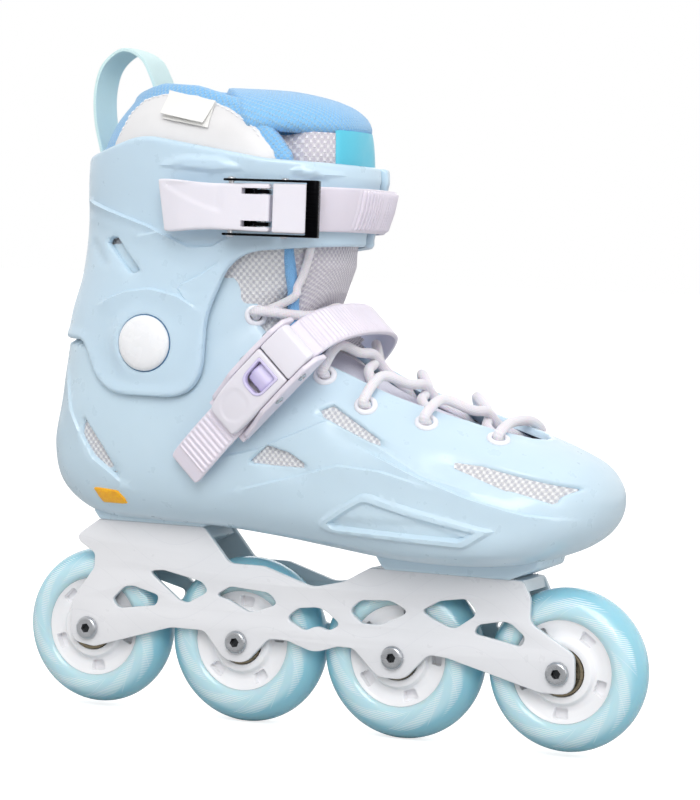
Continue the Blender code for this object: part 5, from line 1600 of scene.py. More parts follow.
def rivet_heads(name, heads, place, body, slot):
    """Turned heads on both sides of a buckle; each one is (x, y, its profile)."""
    points, faces = [], []
    for at_x, at_y, profile in heads:
        for side in (-1, 1):
            turned, quads = revolve(profile, (0, 0), 28)
            base = len(points)
            points += [place @ Vector((at_x + x, at_y + z, side * y)) for x, y, z in turned]
            faces += [tuple(base + i for i in f) for f in quads]
    make(name, points, faces, body, STEEL, slot=slot)


def make_top_buckle():
    place = Matrix.Translation((-17.5, -52.0, 247.0)) @ Matrix.Rotation(math.radians(9), 4, "Z")

    def swoosh(x, z, y):
        line = 7.5 - 0.55 * (x + 46) + 0.006 * (x + 46) ** 2
        depth = float(smooth_step(z, line - 0.4, line + 1.6)) * float(smooth_step(-x, 17.0, 22.0))
        return 0.55 * depth * float(smooth_step(11.2 - abs(z), 0.0, 1.0)) if y < 1.5 else 0.0

    slots = []
    for side in (-1, 1):
        low, high = sorted((side * 6.1, side * 8.9))
        slots.append(rounded_box("slot", ((-9.5, -9, 0.4), (8, -9, 0), (8, 9, 0), (-9.5, 9, 0.4)),
                                 low, high, 0.1, place))
    bar_loft("top_lever_moulding", (
        (-50.2, 11.2, 2.6, 4.6, 0.8), (-49.6, 12.0, 1.9, 5.0, 1.0), (-46, 12.2, 0.5, 4.6, 1.2),
        (-40, 11.8, -1.6, 2.9, 1.4), (-32, 11.1, -3.3, 1.1, 1.5), (-24, 10.7, -4.5, 0.8, 1.5),
        (-16, 10.8, -4.6, 0.6, 1.2), (-8, 11.0, -4.3, 1.6, 1.0), (0, 11.1, -4.2, 2.6, 0.9),
        (2.9, 11.1, -3.85, 2.4, 0.9), (3.7, 10.7, -3.0, 2.0, 0.5)), place, "top_lever", WHITE,
        ("top_buckle_lever",), dent=swoosh, cuts=slots, shear=-0.16)
    # Steel inside the slots and under the lever.
    base = rounded_box("top_base_plate", ((-18, 3.6, 0.3), (-4.6, 3.6, 0.3), (-4.6, 5.6, 0.3),
                                          (-18, 5.6, 0.3)), -9.0, 9.0, 0.2, place)
    lugs = [rounded_box("lug", ((-7, 4.4, 0), (-4, -2.6, 3), (2.8, -2.6, 3), (2.4, 4.4, 0)),
                        min(s * 6.6, s * 8.4), max(s * 6.6, s * 8.4), 0.2, place) for s in (-1, 1)]
    combine(base, lugs, "UNION")
    done(base, "cuff", BLACK_STEEL, ("top_buckle_base",), bevel=0.1)
    # Bail: two side arms and the cross bar over the strap, from one bent plate.
    bail = rounded_box("top_bail_plate", (
        (-19, -3.6, 1.2), (-11, -5.6, 3), (-2, -4.0, 5), (8, -5.0, 4), (27, -4.8, 1.8),
        (27, 1.0, 1.5), (16, 1.0, 3), (4, -0.6, 5), (-18, 0.2, 1.5)), -13.1, 13.1, 0.5, place)
    gap = rounded_box("bail_gap", ((-30, -12, 0), (21.4, -12, 0), (21.4, 9, 0), (-30, 9, 0)),
                      -12.0, 12.0, 0.3, place)
    combine(bail, [gap], "DIFFERENCE")
    done(bail, "bail", BLACK_STEEL, ("top_buckle_bail",), bevel=0.25)
    bar_loft("top_block_moulding", (
        (5.6, 10.9, -3.8, 0.2, 0.4), (6.1, 11.3, -4.4, 0.2, 0.8), (12, 11.4, -4.5, 0.3, 0.9),
        (20.5, 11.4, -4.5, 0.6, 0.8), (21.1, 11.0, -4.0, 0.5, 0.4)), place, "cuff", WHITE,
        ("top_strap_block",))
    # Rivet heads on the arms.
    rivet_heads("bail_rivets", [(x, y, [
        (0.02, reach + 0.75), (1.0, reach + 0.7), (1.7, reach + 0.35), (1.9, reach),
        (1.9, reach - 0.3), (0.02, reach - 0.3)])
        for x, y, reach in ((-15.0, -2.4, 13.3), (10.6, -2.2, 13.2))], place, "bail",
        "top_buckle_bail")


# ---------------------------------------------------------------- instep strap and buckle
INSTEP_PATH = ((-62, -45.5), (-50, -48.5), (-34, -50.6), (-15, -51.0), (8, -51.0), (20, -50.9),
               (28, -48.6), (34, -42.5), (38, -32), (40.4, -17.0), (41, 0.0), (39.8, 17.0),
               (35.5, 31.0), (26, 39.5), (12, 42.6), (-4, 42.2))
SLOPE = math.radians(46.0)
INSTEP = Matrix(((math.cos(SLOPE), 0, -math.sin(SLOPE), -14.0), (0, 1, 0, 0),
                 (math.sin(SLOPE), 0, math.cos(SLOPE), 168.0), (0, 0, 0, 1)))


def make_instep_strap():
    route, far = smooth_route([(s, y, 0.0) for s, y in INSTEP_PATH], 0.3)
    ahead = np.gradient(route, axis=0)
    ahead /= np.linalg.norm(ahead, axis=1)[:, None]
    profile = cross_profile(19.0, STRAP_THICKNESS)
    outer, inner = [], []
    for spot, along, place in zip(route, ahead, far):
        out = np.array((along[1], -along[0], 0.0))
        ends = min(place, far[-1] - place)
        tip = float(lip(np.array([ends]), 1.6)[0]) * 0.7
        share = math.sqrt(max(0.0, 1 - (max(0.0, 5.0 - ends) / 5.0) ** 2))
        tail = float(smooth_step(place, 7.0, 9.0) * (1 - smooth_step(place, 66.0, 70.0)))
        top = float(smooth_step(place, 90.0, 94.0) * (1 - smooth_step(place, 150.0, 160.0)))
        rise = rib(place, 2.75) * max(tail, top)
        row_out, row_in = [], []
        for across, loss in profile:
            a = across * (0.84 + 0.16 * share)
            bump = 0.62 * rise * float(smooth_step(9.0 - abs(across), 0.0, 0.8))
            height = STRAP_THICKNESS / 2 - 0.35 - loss + bump - tip
            spot_out = spot + out * height
            spot_in = spot - out * (STRAP_THICKNESS / 2 - min(loss * 0.15, 0.3))
            row_out.append(INSTEP @ Vector((spot_out[0], spot_out[1], a)))
            row_in.append(INSTEP @ Vector((spot_in[0], spot_in[1], a)))
        outer.append(row_out)
        inner.append(row_in)
    points, faces = ribbon_mesh(outer, inner)
    make("instep_strap_moulded", points, faces, "boot", STRAP, ("instep_strap",), sharp=34)
    points, faces = domed_screw(5.0, 3.0)
    place = INSTEP @ facing((2.0, 43.6, 0.0), (0, 1, 0))
    make("instep_strap_screw_head", [place @ Vector(p) for p in points], faces, "boot", STEEL,
         slot="instep_strap_screw")


def make_instep_buckle():
    plate = rounded_box("instep_plate", ((-29, -47, 0.8), (-29, -49.2, 0.3), (21, -49.2, 0.3),
                                         (21, -47, 0.8)), -12.6, 12.6, 0.4, INSTEP)
    walls = []
    for side in (-1, 1):
        low, high = sorted((side * 10.5, side * 13.1))
        walls.append(rounded_box("wall", (
            (-27.5, -47.4, 1), (-25, -52, 4), (-16, -55.2, 8), (-9, -58.6, 6), (6, -59.6, 8),
            (20, -58.8, 4), (27, -55.5, 3), (29, -47.4, 1)), low, high, 0.8, INSTEP))
    foot, faces = revolve([(0.02, -48.0), (7.0, -48.0), (7.0, -41.9), (0.02, -41.9)], (-12.0, 0),
                          48)
    walls.append(mesh_object("foot", [INSTEP @ Vector(p) for p in foot], faces))
    merge(plate, walls)
    done(plate, "boot", STRAP, ("instep_buckle_base",), bevel=0.2)
    # Rivets through the walls.
    profile = [(0.02, 13.3), (0.9, 13.3), (1.1, 13.9), (1.9, 13.7), (2.3, 13.3), (2.3, 12.8),
               (0.02, 12.8)]
    rivet_heads("instep_rivets", [(0.5, -56.0, profile), (16.1, -55.6, profile)], INSTEP, "boot",
                "instep_buckle_base")

    metres = Matrix.Translation(INSTEP.translation * MM) @ INSTEP.to_3x3().to_4x4()

    def half_round(grow):
        """Window shape: round at its lower end, square at the top."""
        low, high, reach = -6.4 - grow, 8.5 + grow, 6.6 + grow
        return rounded(((low, -reach, 5.6 + grow), (high, -reach - 0.5, 1.2), (high, reach + 0.5,
                                                            1.2),
                        (low, reach, 5.6 + grow)), 8)

    window = extruded("lever_window", [half_round(0.0)], -70.0, -40.0, 0.2, metres)

    def thumb(x, z, y):
        """Shallow thumb rest with a curved step."""
        if y > -54.5:
            return 0.0
        off = math.hypot((x + 17.0) / 9.0, z / 7.5)
        return 0.45 * float(smooth_step(1.0 - off, 0.0, 0.18)) * float(smooth_step(-x, 8.0, 12.0))

    bar_loft("instep_lever_moulding", (
        (-28.4, 6.6, -55.0, -53.6, 0.5), (-27.6, 8.2, -55.8, -53.2, 0.8),
        (-23, 9.4, -57.2, -53.6, 1.2), (-15, 10.1, -59.0, -54.2, 1.4),
        (-7, 10.2, -59.9, -54.2, 1.4), (0, 10.2, -60.1, -54.0, 1.3), (6, 10.2, -60.1, -56.6, 1.2),
        (9.8, 10.1, -59.9, -57.6, 0.8), (10.6, 9.6, -59.3, -57.9, 0.5)), INSTEP, "instep_lever",
        WHITE, ("instep_lever",), dent=thumb, cuts=[window])
    # Lavender lining of the window and the sprung tongue inside it.
    lining = extruded("instep_window_lining", [half_round(-0.1), half_round(-1.3)], -60.5, -57.2,
                      0.3, metres)
    done(lining, "instep_lever", LAVENDER, slot="instep_lever")
    bar_loft("instep_tongue_roller", (
        (-3.4, 4.6, -56.6, -55.6, 0.6), (-2.2, 5.0, -57.6, -55.6, 1.6), (1.4, 5.4, -59.0, -55.6,
                                                            2.2),
        (4.6, 5.4, -58.0, -55.6, 1.8), (7.0, 5.2, -57.0, -55.6, 0.6)), INSTEP, "instep_lever",
        LAVENDER, slot="instep_lever")
    bar_loft("instep_pawl_moulding", (
        (11.4, 9.6, -58.6, -54.0, 0.6), (12.2, 10.2, -59.4, -53.6, 0.9),
        (18, 10.2, -59.4, -53.2, 1.0), (24.6, 10.1, -58.6, -53.6, 1.0),
        (26.4, 9.8, -57.6, -53.8, 0.9), (27.4, 9.2, -56.0, -54.2, 0.6)), INSTEP, "instep_pawl",
        WHITE, ("instep_pawl",))


# ---------------------------------------------------------------- liner and tongue
FOOT_FRONT = ((-2.0, 198.0), (0.0, 202.0), (1.0, 205.0), (2.0, 208.5), (2.6, 212.0), (3.2, 215.0),
              (4.0, 218.5), (5.0, 222.0))
FOOT = (BOOT[:11] + tuple(front + row[2:] for front, row in zip(FOOT_FRONT, BOOT[11:19]))
        + COLLAR[3:])
COLLAR_TOP = COLLAR[3:] + ((7.0, 307.0, -95.0, 312.0, 30.0, 2.3, 2.4, 0.48, 0.0),)
COLLAR_EDGE = rounded(((-160, 225, 0), (-160, 303.5, 0), (-100, 304, 6), (-84, 307.5, 8),
                       (-62, 306, 10), (-40, 300, 14), (-22, 289, 14), (-10, 274, 12),
                       (-6, 258, 8), (-6, 225, 0)))
PANEL_EDGE = rounded(((-109, 258, 0), (-106, 277, 4), (-99, 292, 6), (-92, 298, 6),
                      (-79, 300.5, 8), (-60, 299.5, 10), (-42, 293.5, 14), (-28, 285.5, 14),
                      (-18, 274, 10), (-14, 258, 0)))

# Each mesh's second colour is the painted shade seen inside its holes.
MESH_WHITE = spacer_mesh("mesh_white", (248, 248, 250), (190, 190, 198), (3.0, 3.4), (0.5, 0.66))
MESH_GREY = spacer_mesh("mesh_grey", (248, 244, 250), (196, 190, 202), (3.4, 4.4), (0.42, 0.6))
MESH_BLUE = spacer_mesh("mesh_blue", (160, 212, 250), (128, 190, 242), (2.3, 2.6), (0.3, 0.55),
                        0.0007)
BINDING = woven("blue_binding", (138, 198, 250), 1.1, 0.82)
MINT = woven("mint_webbing", (226, 254, 255), 0.8, 0.9, 0.7)
LABEL = woven("label_cloth", (250, 249, 246), 0.35, 0.94, 0.6, 0.2, 0.0001)


def soft_leather(name, color):
    """Pearl-finished coated fabric: fine grain and a soft sheen."""
    s = Shade(name, color, 0.42)
    s.colour(s.mix(s.ramp(s.noise(16.0, 4.0), 0.35, 0.65), color,
                   tuple(int(c * 0.965) for c in color)))
    s.roughness(s.noise(90.0, 2.0), 0.36, 0.5)
    s.bump(s.noise(1300.0, 3.0), 0.22, 0.0002)
    s.bump(s.noise(30.0, 2.0), 0.12, 0.0009)
    s.put("Sheen Weight", 0.3)
    s.coat(0.3, 0.3)
    return s.material


def pad(skin, table, outer, wall, edge, softness, name, body, material, replaces=(), slot=None,
        uv=None, blend=False):
    """Foam-filled piece: both faces curl together towards its edges."""
    at, around = skin.at[:, 0], skin.at[:, 1]
    plain = surface(table, at, around)
    way = normals(table, at, around)
    offset = outer(at, around) if callable(outer) else np.full(len(at), float(outer))
    curl = lip(edge(plain, at, around), softness) * (wall / 2) / softness
    top = plain + way * (offset - curl)[:, None]
    low = plain + way * (offset - wall + curl)[:, None]
    flat = None if uv is None else np.vstack([uv(plain, at, around)] * 2)
    if blend:
        obj = loose(name, np.vstack([top, low]), solid_faces(skin), material, flat)
        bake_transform(obj)
        if replaces:
            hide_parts(*replaces)
        return obj
    return make(name, np.vstack([top, low]), solid_faces(skin), body, material, replaces, slot,
                flat, 60.0)


def side_map(plain, at, around):
    return np.stack([plain[:, 0], plain[:, 2]], 1)


def wrap_map(plain, at, around):
    place = np.where(around <= 1.0, around, around - 2.0)
    return np.stack([place * 165.0, plain[:, 2]], 1)


def near_front(around):
    return np.minimum(around, 2.0 - around)


def make_liner():
    skin = Skin.tube(stops_for(FOOT, 0, 20, 4.0) + [20.4, 20.8], 96)

    def front_gap(c):
        limit = 0.30 - 0.10 * smooth_step(c[:, 0], 10.6, 12.6)
        return np.where(c[:, 0] > 4.0, (near_front(c[:, 1]) - limit) * 150.0, 40.0)

    skin.split(front_gap, 0.0, keep=1)
    skin.tidy()

    def outer(at, around):
        under = (1 - smooth_step(near_front(around), 0.30, 0.42)) * smooth_step(at, 4.0, 5.5)
        under *= 1 - smooth_step(at, 15.0, 17.0)
        low = -3.7 * (1 - smooth_step(at, 17.0, 19.0)) - 1.0 * smooth_step(at, 17.0, 19.0)
        return low - 4.6 * under

    def edge(plain, at, around):
        return np.minimum(front_gap(np.stack([at, around], 1)), 20.0 * (20.8 - at))

    pad(skin, FOOT, outer, 4.0, edge, 2.0, "liner_sock", "boot", MESH_WHITE,
        ("liner_lower",), uv=side_map, blend=True)

    skin = Skin.tube(stops_for(COLLAR_TOP, 0, 6, 2.2), 150)
    for level in (3.0, 1.2):
        skin.split(lambda c: -signed(xz(surface(COLLAR_TOP, c[:, 0], c[:, 1])), COLLAR_EDGE),
                   level)
    skin.split(lambda c: -signed(xz(surface(COLLAR_TOP, c[:, 0], c[:, 1])), COLLAR_EDGE), 0.0,
               keep=1)
    skin.split(lambda c: c[:, 0] * 13.0, 6.0, keep=1)
    skin.tidy()

    def puff(at, around):
        """Collar padding: fullest just inside the edge."""
        spots = surface(COLLAR_TOP, at, around)
        inside = -signed(xz(spots), COLLAR_EDGE)
        return 0.9 * smooth_step(inside, 0.0, 3.5) * (1 - smooth_step(inside, 5.0, 7.5)) - 0.2

    def rim(plain, at, around):
        return -signed(xz(plain), COLLAR_EDGE)

    collar = pad(skin, COLLAR_TOP, puff, 7.5, rim, 3.6, "liner_collar_padding", "cuff", MESH_BLUE,
                 ("liner_upper",), uv=wrap_map)

    # Coated side panels, sewn on inside the rim of the collar.
    skin = Skin.tube(stops_for(COLLAR_TOP, 1, 6, 2.2), 150)

    def inset(c):
        return -signed(xz(surface(COLLAR_TOP, c[:, 0], c[:, 1])), PANEL_EDGE)

    for level in (2.0, 0.7):
        skin.split(inset, level)
    skin.split(inset, 0.0, keep=1)
    skin.tidy()
    pearl = soft_leather("pearl_coated_cloth", (232, 231, 232))

    def bulge(at, around):
        inside = -signed(xz(surface(COLLAR_TOP, at, around)), PANEL_EDGE)
        return 0.35 + 1.0 * smooth_step(inside, 0.5, 9.0)

    pad(skin, COLLAR_TOP, bulge, 1.1, lambda p, at, around: -signed(xz(p), PANEL_EDGE), 0.8,
        "collar_side_panels", "cuff", pearl, slot="liner_upper", uv=wrap_map)
    stitches(PANEL_EDGE, 1.3, 0.75)


PLACES = [g.ravel() for g in np.meshgrid(np.linspace(1.5, len(COLLAR_TOP) - 1, 181),
                                         np.linspace(0.02, 0.98, 180))]
SPOTS = surface(COLLAR_TOP, *PLACES)


def on_collar(x, z, side=-1):
    """Place on the outer (-1) or inner side of the collar nearest to x, z."""
    (a, b), spots = PLACES, SPOTS
    best = int(np.argmin((spots[:, 0] - x) ** 2 + (spots[:, 2] - z) ** 2))
    return float(a[best]), float(b[best] if side > 0 else 2.0 - b[best])


def stitches(outline, inset, lift):
    """Row of short raised stitches just inside an outline, on both sides of the collar."""
    thread = moulded("panel_thread", (250, 250, 252), 0.6)
    ring = np.array(outline)
    far = np.concatenate([[0.0], np.cumsum(np.hypot(*np.diff(ring, axis=0).T))])
    points, faces = [], []
    for place in np.arange(24.0, far[-1] - 24.0, 3.0):
        spot = np.array([np.interp(place + d, far, ring[:, k]) for d in (-0.9, 0.9)
                         for k in (0, 1)]).reshape(2, 2)
        along = (spot[1] - spot[0]) / max(np.linalg.norm(spot[1] - spot[0]), 1e-6)
        inward = np.array((along[1], -along[0]))
        middle = (spot[0] + spot[1]) / 2 + inward * inset
        if signed(middle[None, :], ring)[0] > 0:
            middle = (spot[0] + spot[1]) / 2 - inward * inset
        if middle[1] < 268:
            continue
        for side in (-1, 1):
            at, around = on_collar(middle[0], middle[1], side)
            base, normal = surface_spot(COLLAR_TOP, at, around, 0.0, True)
            way = Vector((along[0], 0.0, along[1]))
            way = (way - normal * way.dot(normal)).normalized()
            across = normal.cross(way)
            first = len(points)
            for s, r in ((-0.95, 0.12), (-0.6, 0.3), (0.0, 0.34), (0.6, 0.3), (0.95, 0.12)):
                for k in range(6):
                    a = math.pi * k / 3
                    points.append(base + way * s + across * r * math.cos(a)
                                  + normal * (lift + r * math.sin(a)))
            for row in range(4):
                for k in range(6):
                    n = (k + 1) % 6
                    faces.append((first + row * 6 + k, first + row * 6 + n,
                                  first + row * 6 + 6 + n, first + row * 6 + 6 + k))
            faces += [tuple(first + k for k in range(6)), tuple(first + 24 + k for k in range(6))]
    make("collar_stitches", points, faces, "cuff", thread, slot="liner_upper")


# Tongue: half width around its sections, and how far it lies in or out of them.
def tongue_spread(at):
    return np.interp(at, (5.0, 7.0, 8.5, 10.0, 12.0, 14.0, 16.0, 18.0, 19.0, 20.0, 22.0, 24.0),
                     (0.15, 0.2, 0.23, 0.23, 0.215, 0.215, 0.225, 0.247, 0.262, 0.29, 0.42, 0.42))


def tongue_offset(at):
    return np.interp(at, (5.0, 9.5, 11.0, 14.0, 17.0, 19.0, 21.0, 24.0),
                     (-8.4, -8.4, -6.2, -2.8, -1.4, -1.2, -2.4, -2.6))


def tongue_grid(first, last, across, share=1.0):
    stops = np.array([s for s in stops_for(FOOT, math.floor(first), math.ceil(last), 2.2)
                      if first <= s <= last] + [last])
    columns = np.linspace(-share, share, across)
    at, column = (g.ravel() for g in np.meshgrid(stops, columns, indexing="ij"))
    around = np.mod(column * tongue_spread(at), 2.0)
    faces = []
    for i in range(len(stops) - 1):
        for k in range(across - 1):
            a = i * across + k
            faces.append((a, a + 1, a + across + 1, a + across))
    skin = Skin(np.stack([at, around], 1), faces)
    skin.column = column
    return skin


def tongue_map(plain, at, around):
    place = np.where(around <= 1.0, around, around - 2.0)
    return np.stack([place * 160.0, at * 8.0 + np.maximum(0.0, at - 18.0) * 5.5], 1)


def make_tongue():
    skin = tongue_grid(4.9, 23.0, 33)
    column = skin.column

    def edge(plain, at, around):
        return (1 - np.abs(column)) * tongue_spread(at) * 150.0

    def tucked(at, around):
        """Its sides lie inside the collar."""
        side = smooth_step(near_front(around), 0.25, 0.31) * smooth_step(at, 18.5, 20.0)
        return tongue_offset(at) - 7.8 * side

    lower = pad(skin, FOOT, tucked, 4.4, edge, 2.2,
                "tongue_padding", "boot", MESH_GREY, ("tongue_lower",), uv=tongue_map, blend=True)

    # Bound edges.
    for name, side in (("outer", -1), ("inner", 1)):
        stops = np.linspace(5.2, 20.4, 56)
        place = np.minimum(tongue_spread(stops), 0.275) * side
        spots = surface(FOOT, stops, np.mod(place, 2.0))
        way = normals(FOOT, stops, np.mod(place, 2.0))
        route = spots + way * (tongue_offset(stops) - 1.7)[:, None]
        points, faces, flat = tube_mesh(route, 2.9, 16)
        obj = loose(f"tongue_binding_{name}", points, faces, BINDING, flat, 80)
        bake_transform(obj)

    # Plain cloth band between the laces, lower on the tongue.
    skin = tongue_grid(5.4, 11.5, 25, 0.62)
    column_low = skin.column
    cloth = woven("tongue_cloth", (222, 222, 238), 0.7, 0.9)
    obj = pad(skin, FOOT, lambda at, around: tongue_offset(at) + 0.5, 1.2,
              lambda p, at, around: (0.62 - np.abs(column_low)) * tongue_spread(at) * 150.0, 0.6,
              "tongue_cloth_band", "boot", cloth, slot="tongue_lower", uv=tongue_map)

    make_tongue_top()


def make_tongue_top():
    """Thick padded head of the tongue, domed over the shin, with its front patch below it."""
    rows = ((7.0, 283.0, -117.0, 285.5, 43.0, 1.0), (6.2, 286.5, -113.0, 288.5, 42.4, 2.4),
            (4.0, 290.3, -110.0, 292.5, 40.4, 2.8), (-1.0, 294.3, -106.0, 297.0, 36.0, 2.8),
            (-8.5, 297.8, -103.0, 301.0, 29.5, 2.4), (-17.5, 300.8, -100.0, 303.5, 22.0, 1.6),
            (-27.0, 303.0, -94.0, 304.6, 14.0, 0.9), (-33.0, 303.8, -88.0, 304.8, 7.0, 0.3))
    table = [(fx, fz, bx, bz, half, 2.5, 2.4, 0.48, 0.0) for fx, fz, bx, bz, half, _ in rows]
    swell = [row[5] for row in rows]
    stops = np.linspace(0, len(rows) - 1, 29)
    across = 61
    columns = np.linspace(-1, 1, across)
    at, column = (g.ravel() for g in np.meshgrid(stops, columns, indexing="ij"))
    spread = np.interp(at, (0, 3, 5, 7), (0.40, 0.44, 0.47, 0.49))
    around = np.mod(column * spread, 2.0)
    faces = []
    for i in range(len(stops) - 1):
        for k in range(across - 1):
            a = i * across + k
            faces.append((a, a + 1, a + across + 1, a + across))
    skin = Skin(np.stack([at, around], 1), faces)
    lift = np.interp(at, range(len(rows)), swell)

    def edge(plain, at, around):
        return np.minimum(np.minimum((1 - np.abs(column)) * 60.0, at * 3.0 + 0.4), 30.0)

    head = pad(skin, table, lambda at, around: lift, 7.0, edge, 3.2, "tongue_head_padding",
               "cuff", MESH_BLUE, ("tongue_upper",), uv=lambda p, at, around: np.stack(
                   [np.where(around <= 1, around, around - 2) * 150.0, p[:, 2] * 1.0
                    - p[:, 0] * 0.6], 1))

    # Smooth bright patch at the front, just under the head.
    at, column = (g.ravel() for g in np.meshgrid(np.linspace(21.2, 23.1, 14),
                                                 np.linspace(-1, 1, 31), indexing="ij"))
    faces = [(i * 31 + k, i * 31 + k + 1, (i + 1) * 31 + k + 1, (i + 1) * 31 + k)
             for i in range(13) for k in range(30)]
    skin = Skin(np.stack([at, np.mod(column * 0.165, 2.0)], 1), faces)
    patch = moulded("cyan_patch", (84, 200, 226), 0.4, 500.0, 0.05)
    pad(skin, FOOT, lambda at, around: tongue_offset(at) + 0.9, 1.5,
        lambda p, at, around: np.minimum((1 - np.abs(column)) * 26.0, (at - 21.2) * 13.0), 0.7,
        "tongue_patch", "cuff", patch, slot="tongue_upper")


def make_label():
    """Blank folded cloth tab sewn to the top of the outer side panel."""
    corners = np.array(((-75.0, 300.0), (-49.5, 295.5), (-52.0, 284.5), (-75.5, 288.5)))
    for name, grow, lift, drop in (("under", 1.4, 1.9, 1.0), ("top", 0.0, 2.8, 2.4)):
        rows, across = 10, 18
        grids = []
        for layer in (0.0, -0.5):
            grid = []
            for i in range(rows):
                v = i / (rows - 1)
                line = []
                for k in range(across):
                    u = k / (across - 1)
                    a = corners[0] * (1 - u) + corners[1] * u
                    b = corners[3] * (1 - u) + corners[2] * u
                    x, z = a * (1 - v) + b * v + np.array((grow * u * v, -grow * v))
                    at, around = on_collar(x, z)
                    spot, normal = surface_spot(COLLAR_TOP, at, around, 0.0, True)
                    rise = lift + drop * v * v + 0.35 * math.sin(3.0 * u) * v + layer
                    line.append(spot + normal * rise)
                grid.append(line)
            smooth = np.array([[tuple(p) for p in line] for line in grid])
            for _ in range(3):
                smooth[1:-1] = (smooth[:-2] + 2 * smooth[1:-1] + smooth[2:]) / 4
                smooth[:, 1:-1] = (smooth[:, :-2] + 2 * smooth[:, 1:-1] + smooth[:, 2:]) / 4
            grids.append(smooth)
        points, faces = ribbon_mesh(grids[0], grids[1])
        uv = [(k * 1.5, i * 1.3) for _ in (0, 1) for i in range(rows) for k in range(across)]
        make(f"side_label_{name}", points, faces, "cuff", LABEL, slot="liner_upper", uv=uv)


def make_pull_loop():
    route = ((-124.8, 0, 272), (-129, 0, 288), (-129.8, 0, 303), (-126, 0, 315.5),
             (-116, 0, 322.8), (-105.5, 0, 319.2), (-100, 0, 311), (-96.5, 0, 303))
    spots, far = smooth_route(route, 1.2)
    ahead = np.gradient(spots, axis=0)
    ahead /= np.linalg.norm(ahead, axis=1)[:, None]
    profile = cross_profile(22.0, 1.6, 0.5)
    outer, inner, flat_out = [], [], []
    for spot, along, place in zip(spots, ahead, far):
        out = np.array((-along[2], 0.0, along[0]))
        out = out if out @ (spot - np.array((-110.0, 0, 290.0))) > 0 else -out
        # The tape narrows a little and cups where it turns over at the top.
        turn = math.exp(-((place - far[-1] * 0.55) / 22.0) ** 2)
        row_out, row_in, row_flat = [], [], []
        for across, loss in profile:
            a = across * (1.0 - 0.04 * turn)
            cup = 0.9 * turn * (1 - (across / 11.0) ** 2)
            base = spot + np.array((0.0, a, 0.0)) + out * cup
            row_out.append(base + out * (0.8 - loss * 0.5))
            row_in.append(base - out * (0.8 - loss * 0.5))
            row_flat.append((place, across))
        outer.append(row_out)
        inner.append(row_in)
        flat_out += row_flat
    points, faces = ribbon_mesh(outer, inner)
    make("pull_loop_webbing", points, faces, "cuff", MINT, ("pull_loop",), uv=flat_out * 2)


INSOLE_ROWS = (
    (-115.5, -12.0, 12.0, 108.1), (-113, -14.8, 14.8, 108.1), (-108, -17.2, 17.2, 108.1),
    (-95, -20.2, 20.2, 108.1), (-80, -20.6, 20.6, 108.1), (-60, -21.0, 21.0, 108.1),
    (-38, -21.0, 21.0, 108.1), (-24, -18.4, 18.4, 105.2), (-10, -19.4, 19.8, 103.4),
    (5, -20.2, 21.1, 101.8), (22, -21.6, 23.1, 100.0), (40, -24.7, 27.2, 98.7),
    (60, -27.7, 31.8, 98.0), (80, -28.9, 34.6, 98.2), (95, -27.0, 34.3, 99.6),
    (103, -23.4, 31.8, 101.2), (106.5, -19.5, 28.5, 102.1))


def make_insole():
    """Foam footbed with a raised rim."""
    across = 17
    top, low = [], []
    for x, left, right, floor in INSOLE_ROWS:
        row_top, row_low = [], []
        for k in range(across):
            t = 2 * k / (across - 1) - 1
            y = (left + right) / 2 + t * (right - left) / 2
            row_top.append((x, y, floor + 3.0 - 0.9 * (1 - t * t) ** 2 - 0.8 * abs(t) ** 12))
            row_low.append((x, y, floor + 0.6 * abs(t) ** 10))
        top.append(row_top)
        low.append(row_low)
    points, faces = ribbon_mesh(top, low)
    foam = woven("insole_cloth", (196, 204, 216), 0.6, 0.86)
    uv = [(p[0], p[1]) for p in points]
    make("insole_foam", points, faces, "boot", foam, ("insole",), uv=uv)


# ---------------------------------------------------------------- floor, light and camera
CAMERA_AT = (0.5029, -1.1619, 0.2204)
CAMERA_FORWARD = (-0.392, 0.9186, -0.0491)
CAMERA_ROLL = -2.13                          # degrees
CAMERA_LENS = 119.7
FLOOR_HALF = 40.0                            # metres
FLOOR_GLOW = 0.74
WORLD_SLANT = -0.35                          # how far the world's fade leans towards -x
WORLD_FADE = (-0.9, 0.5, 0.62, 1.0)          # where it starts and ends, strength at each
LIGHTS = (("key", (0.45, -1.25, 1.1), 0.9, 14.0), ("side", (1.6, -0.6, 0.6), 0.9, 3.0),
          ("rim", (-0.6, 1.3, 1.0), 1.0, 3.0))


def look(camera_at, forward, roll):
    forward = Vector(forward).normalized()
    right = forward.cross(Vector((0, 0, 1))).normalized()
    up = right.cross(forward)
    turn = Matrix.Rotation(roll, 3, forward)
    right, up = turn @ right, turn @ up
    return Matrix((right, up, -forward)).transposed().to_4x4(), Vector(camera_at)


def make_camera():
    data = bpy.data.cameras.new("camera")
    data.lens = CAMERA_LENS
    data.sensor_width = 36.0
    camera = bpy.data.objects.new("camera", data)
    bpy.context.scene.collection.objects.link(camera)
    turn, at = look(CAMERA_AT, CAMERA_FORWARD, math.radians(CAMERA_ROLL))
    camera.matrix_world = Matrix.Translation(at) @ turn
    bpy.context.scene.camera = camera


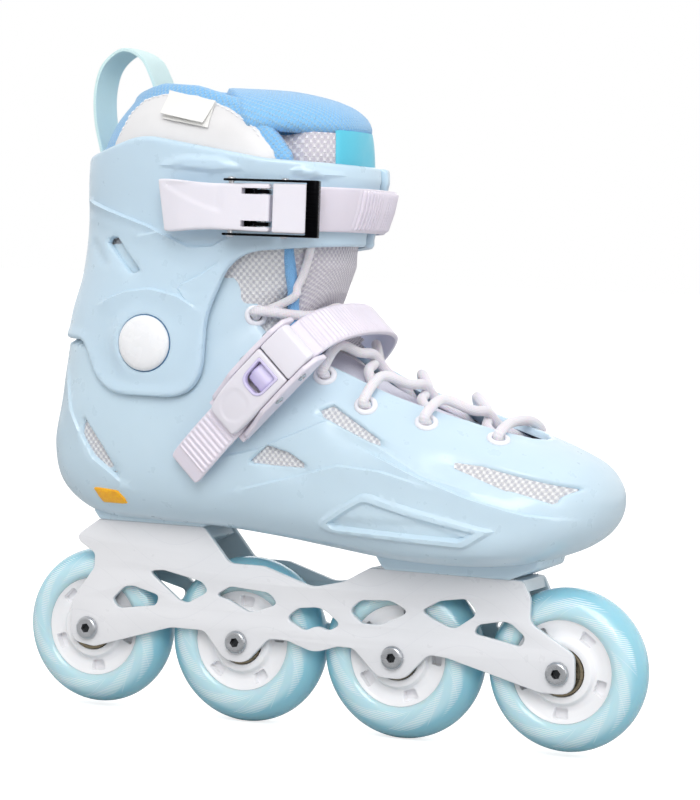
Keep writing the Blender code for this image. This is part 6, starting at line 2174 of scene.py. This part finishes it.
def make_stage():
    floor = bpy.data.meshes.new("floor")
    floor.from_pydata([(x * FLOOR_HALF, y * FLOOR_HALF, 0) for x, y in
                       ((-1, -1), (1, -1), (1, 1), (-1, 1))], [], [(0, 1, 2, 3)])
    floor_object = bpy.data.objects.new("floor", floor)
    bpy.context.scene.collection.objects.link(floor_object)
    # The light path makes it white where it is seen, while it lights the object only moderately.
    paint = Shade("floor_white", (186, 186, 186), 1.0)
    paint.put("Emission Color", (1.0, 1.0, 1.0, 1.0))
    seen = paint.node("ShaderNodeLightPath")
    paint.link(paint.math("MULTIPLY", seen.outputs["Is Camera Ray"], FLOOR_GLOW),
               paint.out.inputs["Emission Strength"])
    floor.materials.append(paint.material)
    world = bpy.data.worlds.new("studio")
    world.use_nodes = True
    # White around the horizon ahead and above; darker behind the camera and below.
    nodes, links = world.node_tree.nodes, world.node_tree.links
    spot = nodes.new("ShaderNodeTexCoord")
    parts = nodes.new("ShaderNodeSeparateXYZ")
    links.new(spot.outputs["Generated"], parts.inputs[0])
    fade = nodes.new("ShaderNodeMapRange")
    fade.interpolation_type = "SMOOTHSTEP"
    slant = nodes.new("ShaderNodeMath")
    slant.operation = "MULTIPLY_ADD"
    links.new(parts.outputs["X"], slant.inputs[0])
    slant.inputs[1].default_value = WORLD_SLANT
    links.new(parts.outputs["Y"], slant.inputs[2])
    links.new(slant.outputs[0], fade.inputs[0])
    for i, v in enumerate(WORLD_FADE, 1):
        fade.inputs[i].default_value = v
    links.new(fade.outputs[0], nodes["Background"].inputs[1])
    nodes["Background"].inputs[0].default_value = (1.0, 1.0, 1.0, 1.0)
    bpy.context.scene.world = world
    bpy.context.scene.view_settings.view_transform = "Standard"
    for name, at, size, power in LIGHTS:
        light = bpy.data.lights.new(name, "AREA")
        light.size = size
        light.energy = power
        lamp = bpy.data.objects.new(name, light)
        lamp.location = at
        lamp.rotation_euler = (Vector((0, 0, 0.15)) - Vector(at)).to_track_quat("-Z",
                                                            "Y").to_euler()
        bpy.context.scene.collection.objects.link(lamp)


make_stage()
make_camera()
make_shell()
make_vent_mesh()
make_sole_pads()
make_cuff()
make_wheels()
make_frame()
make_caps()
make_reflectors()
make_eyelets()
make_lace()
make_top_strap()
make_top_buckle()
make_instep_strap()
make_instep_buckle()
make_liner()
make_tongue()
make_label()
make_pull_loop()
make_insole()
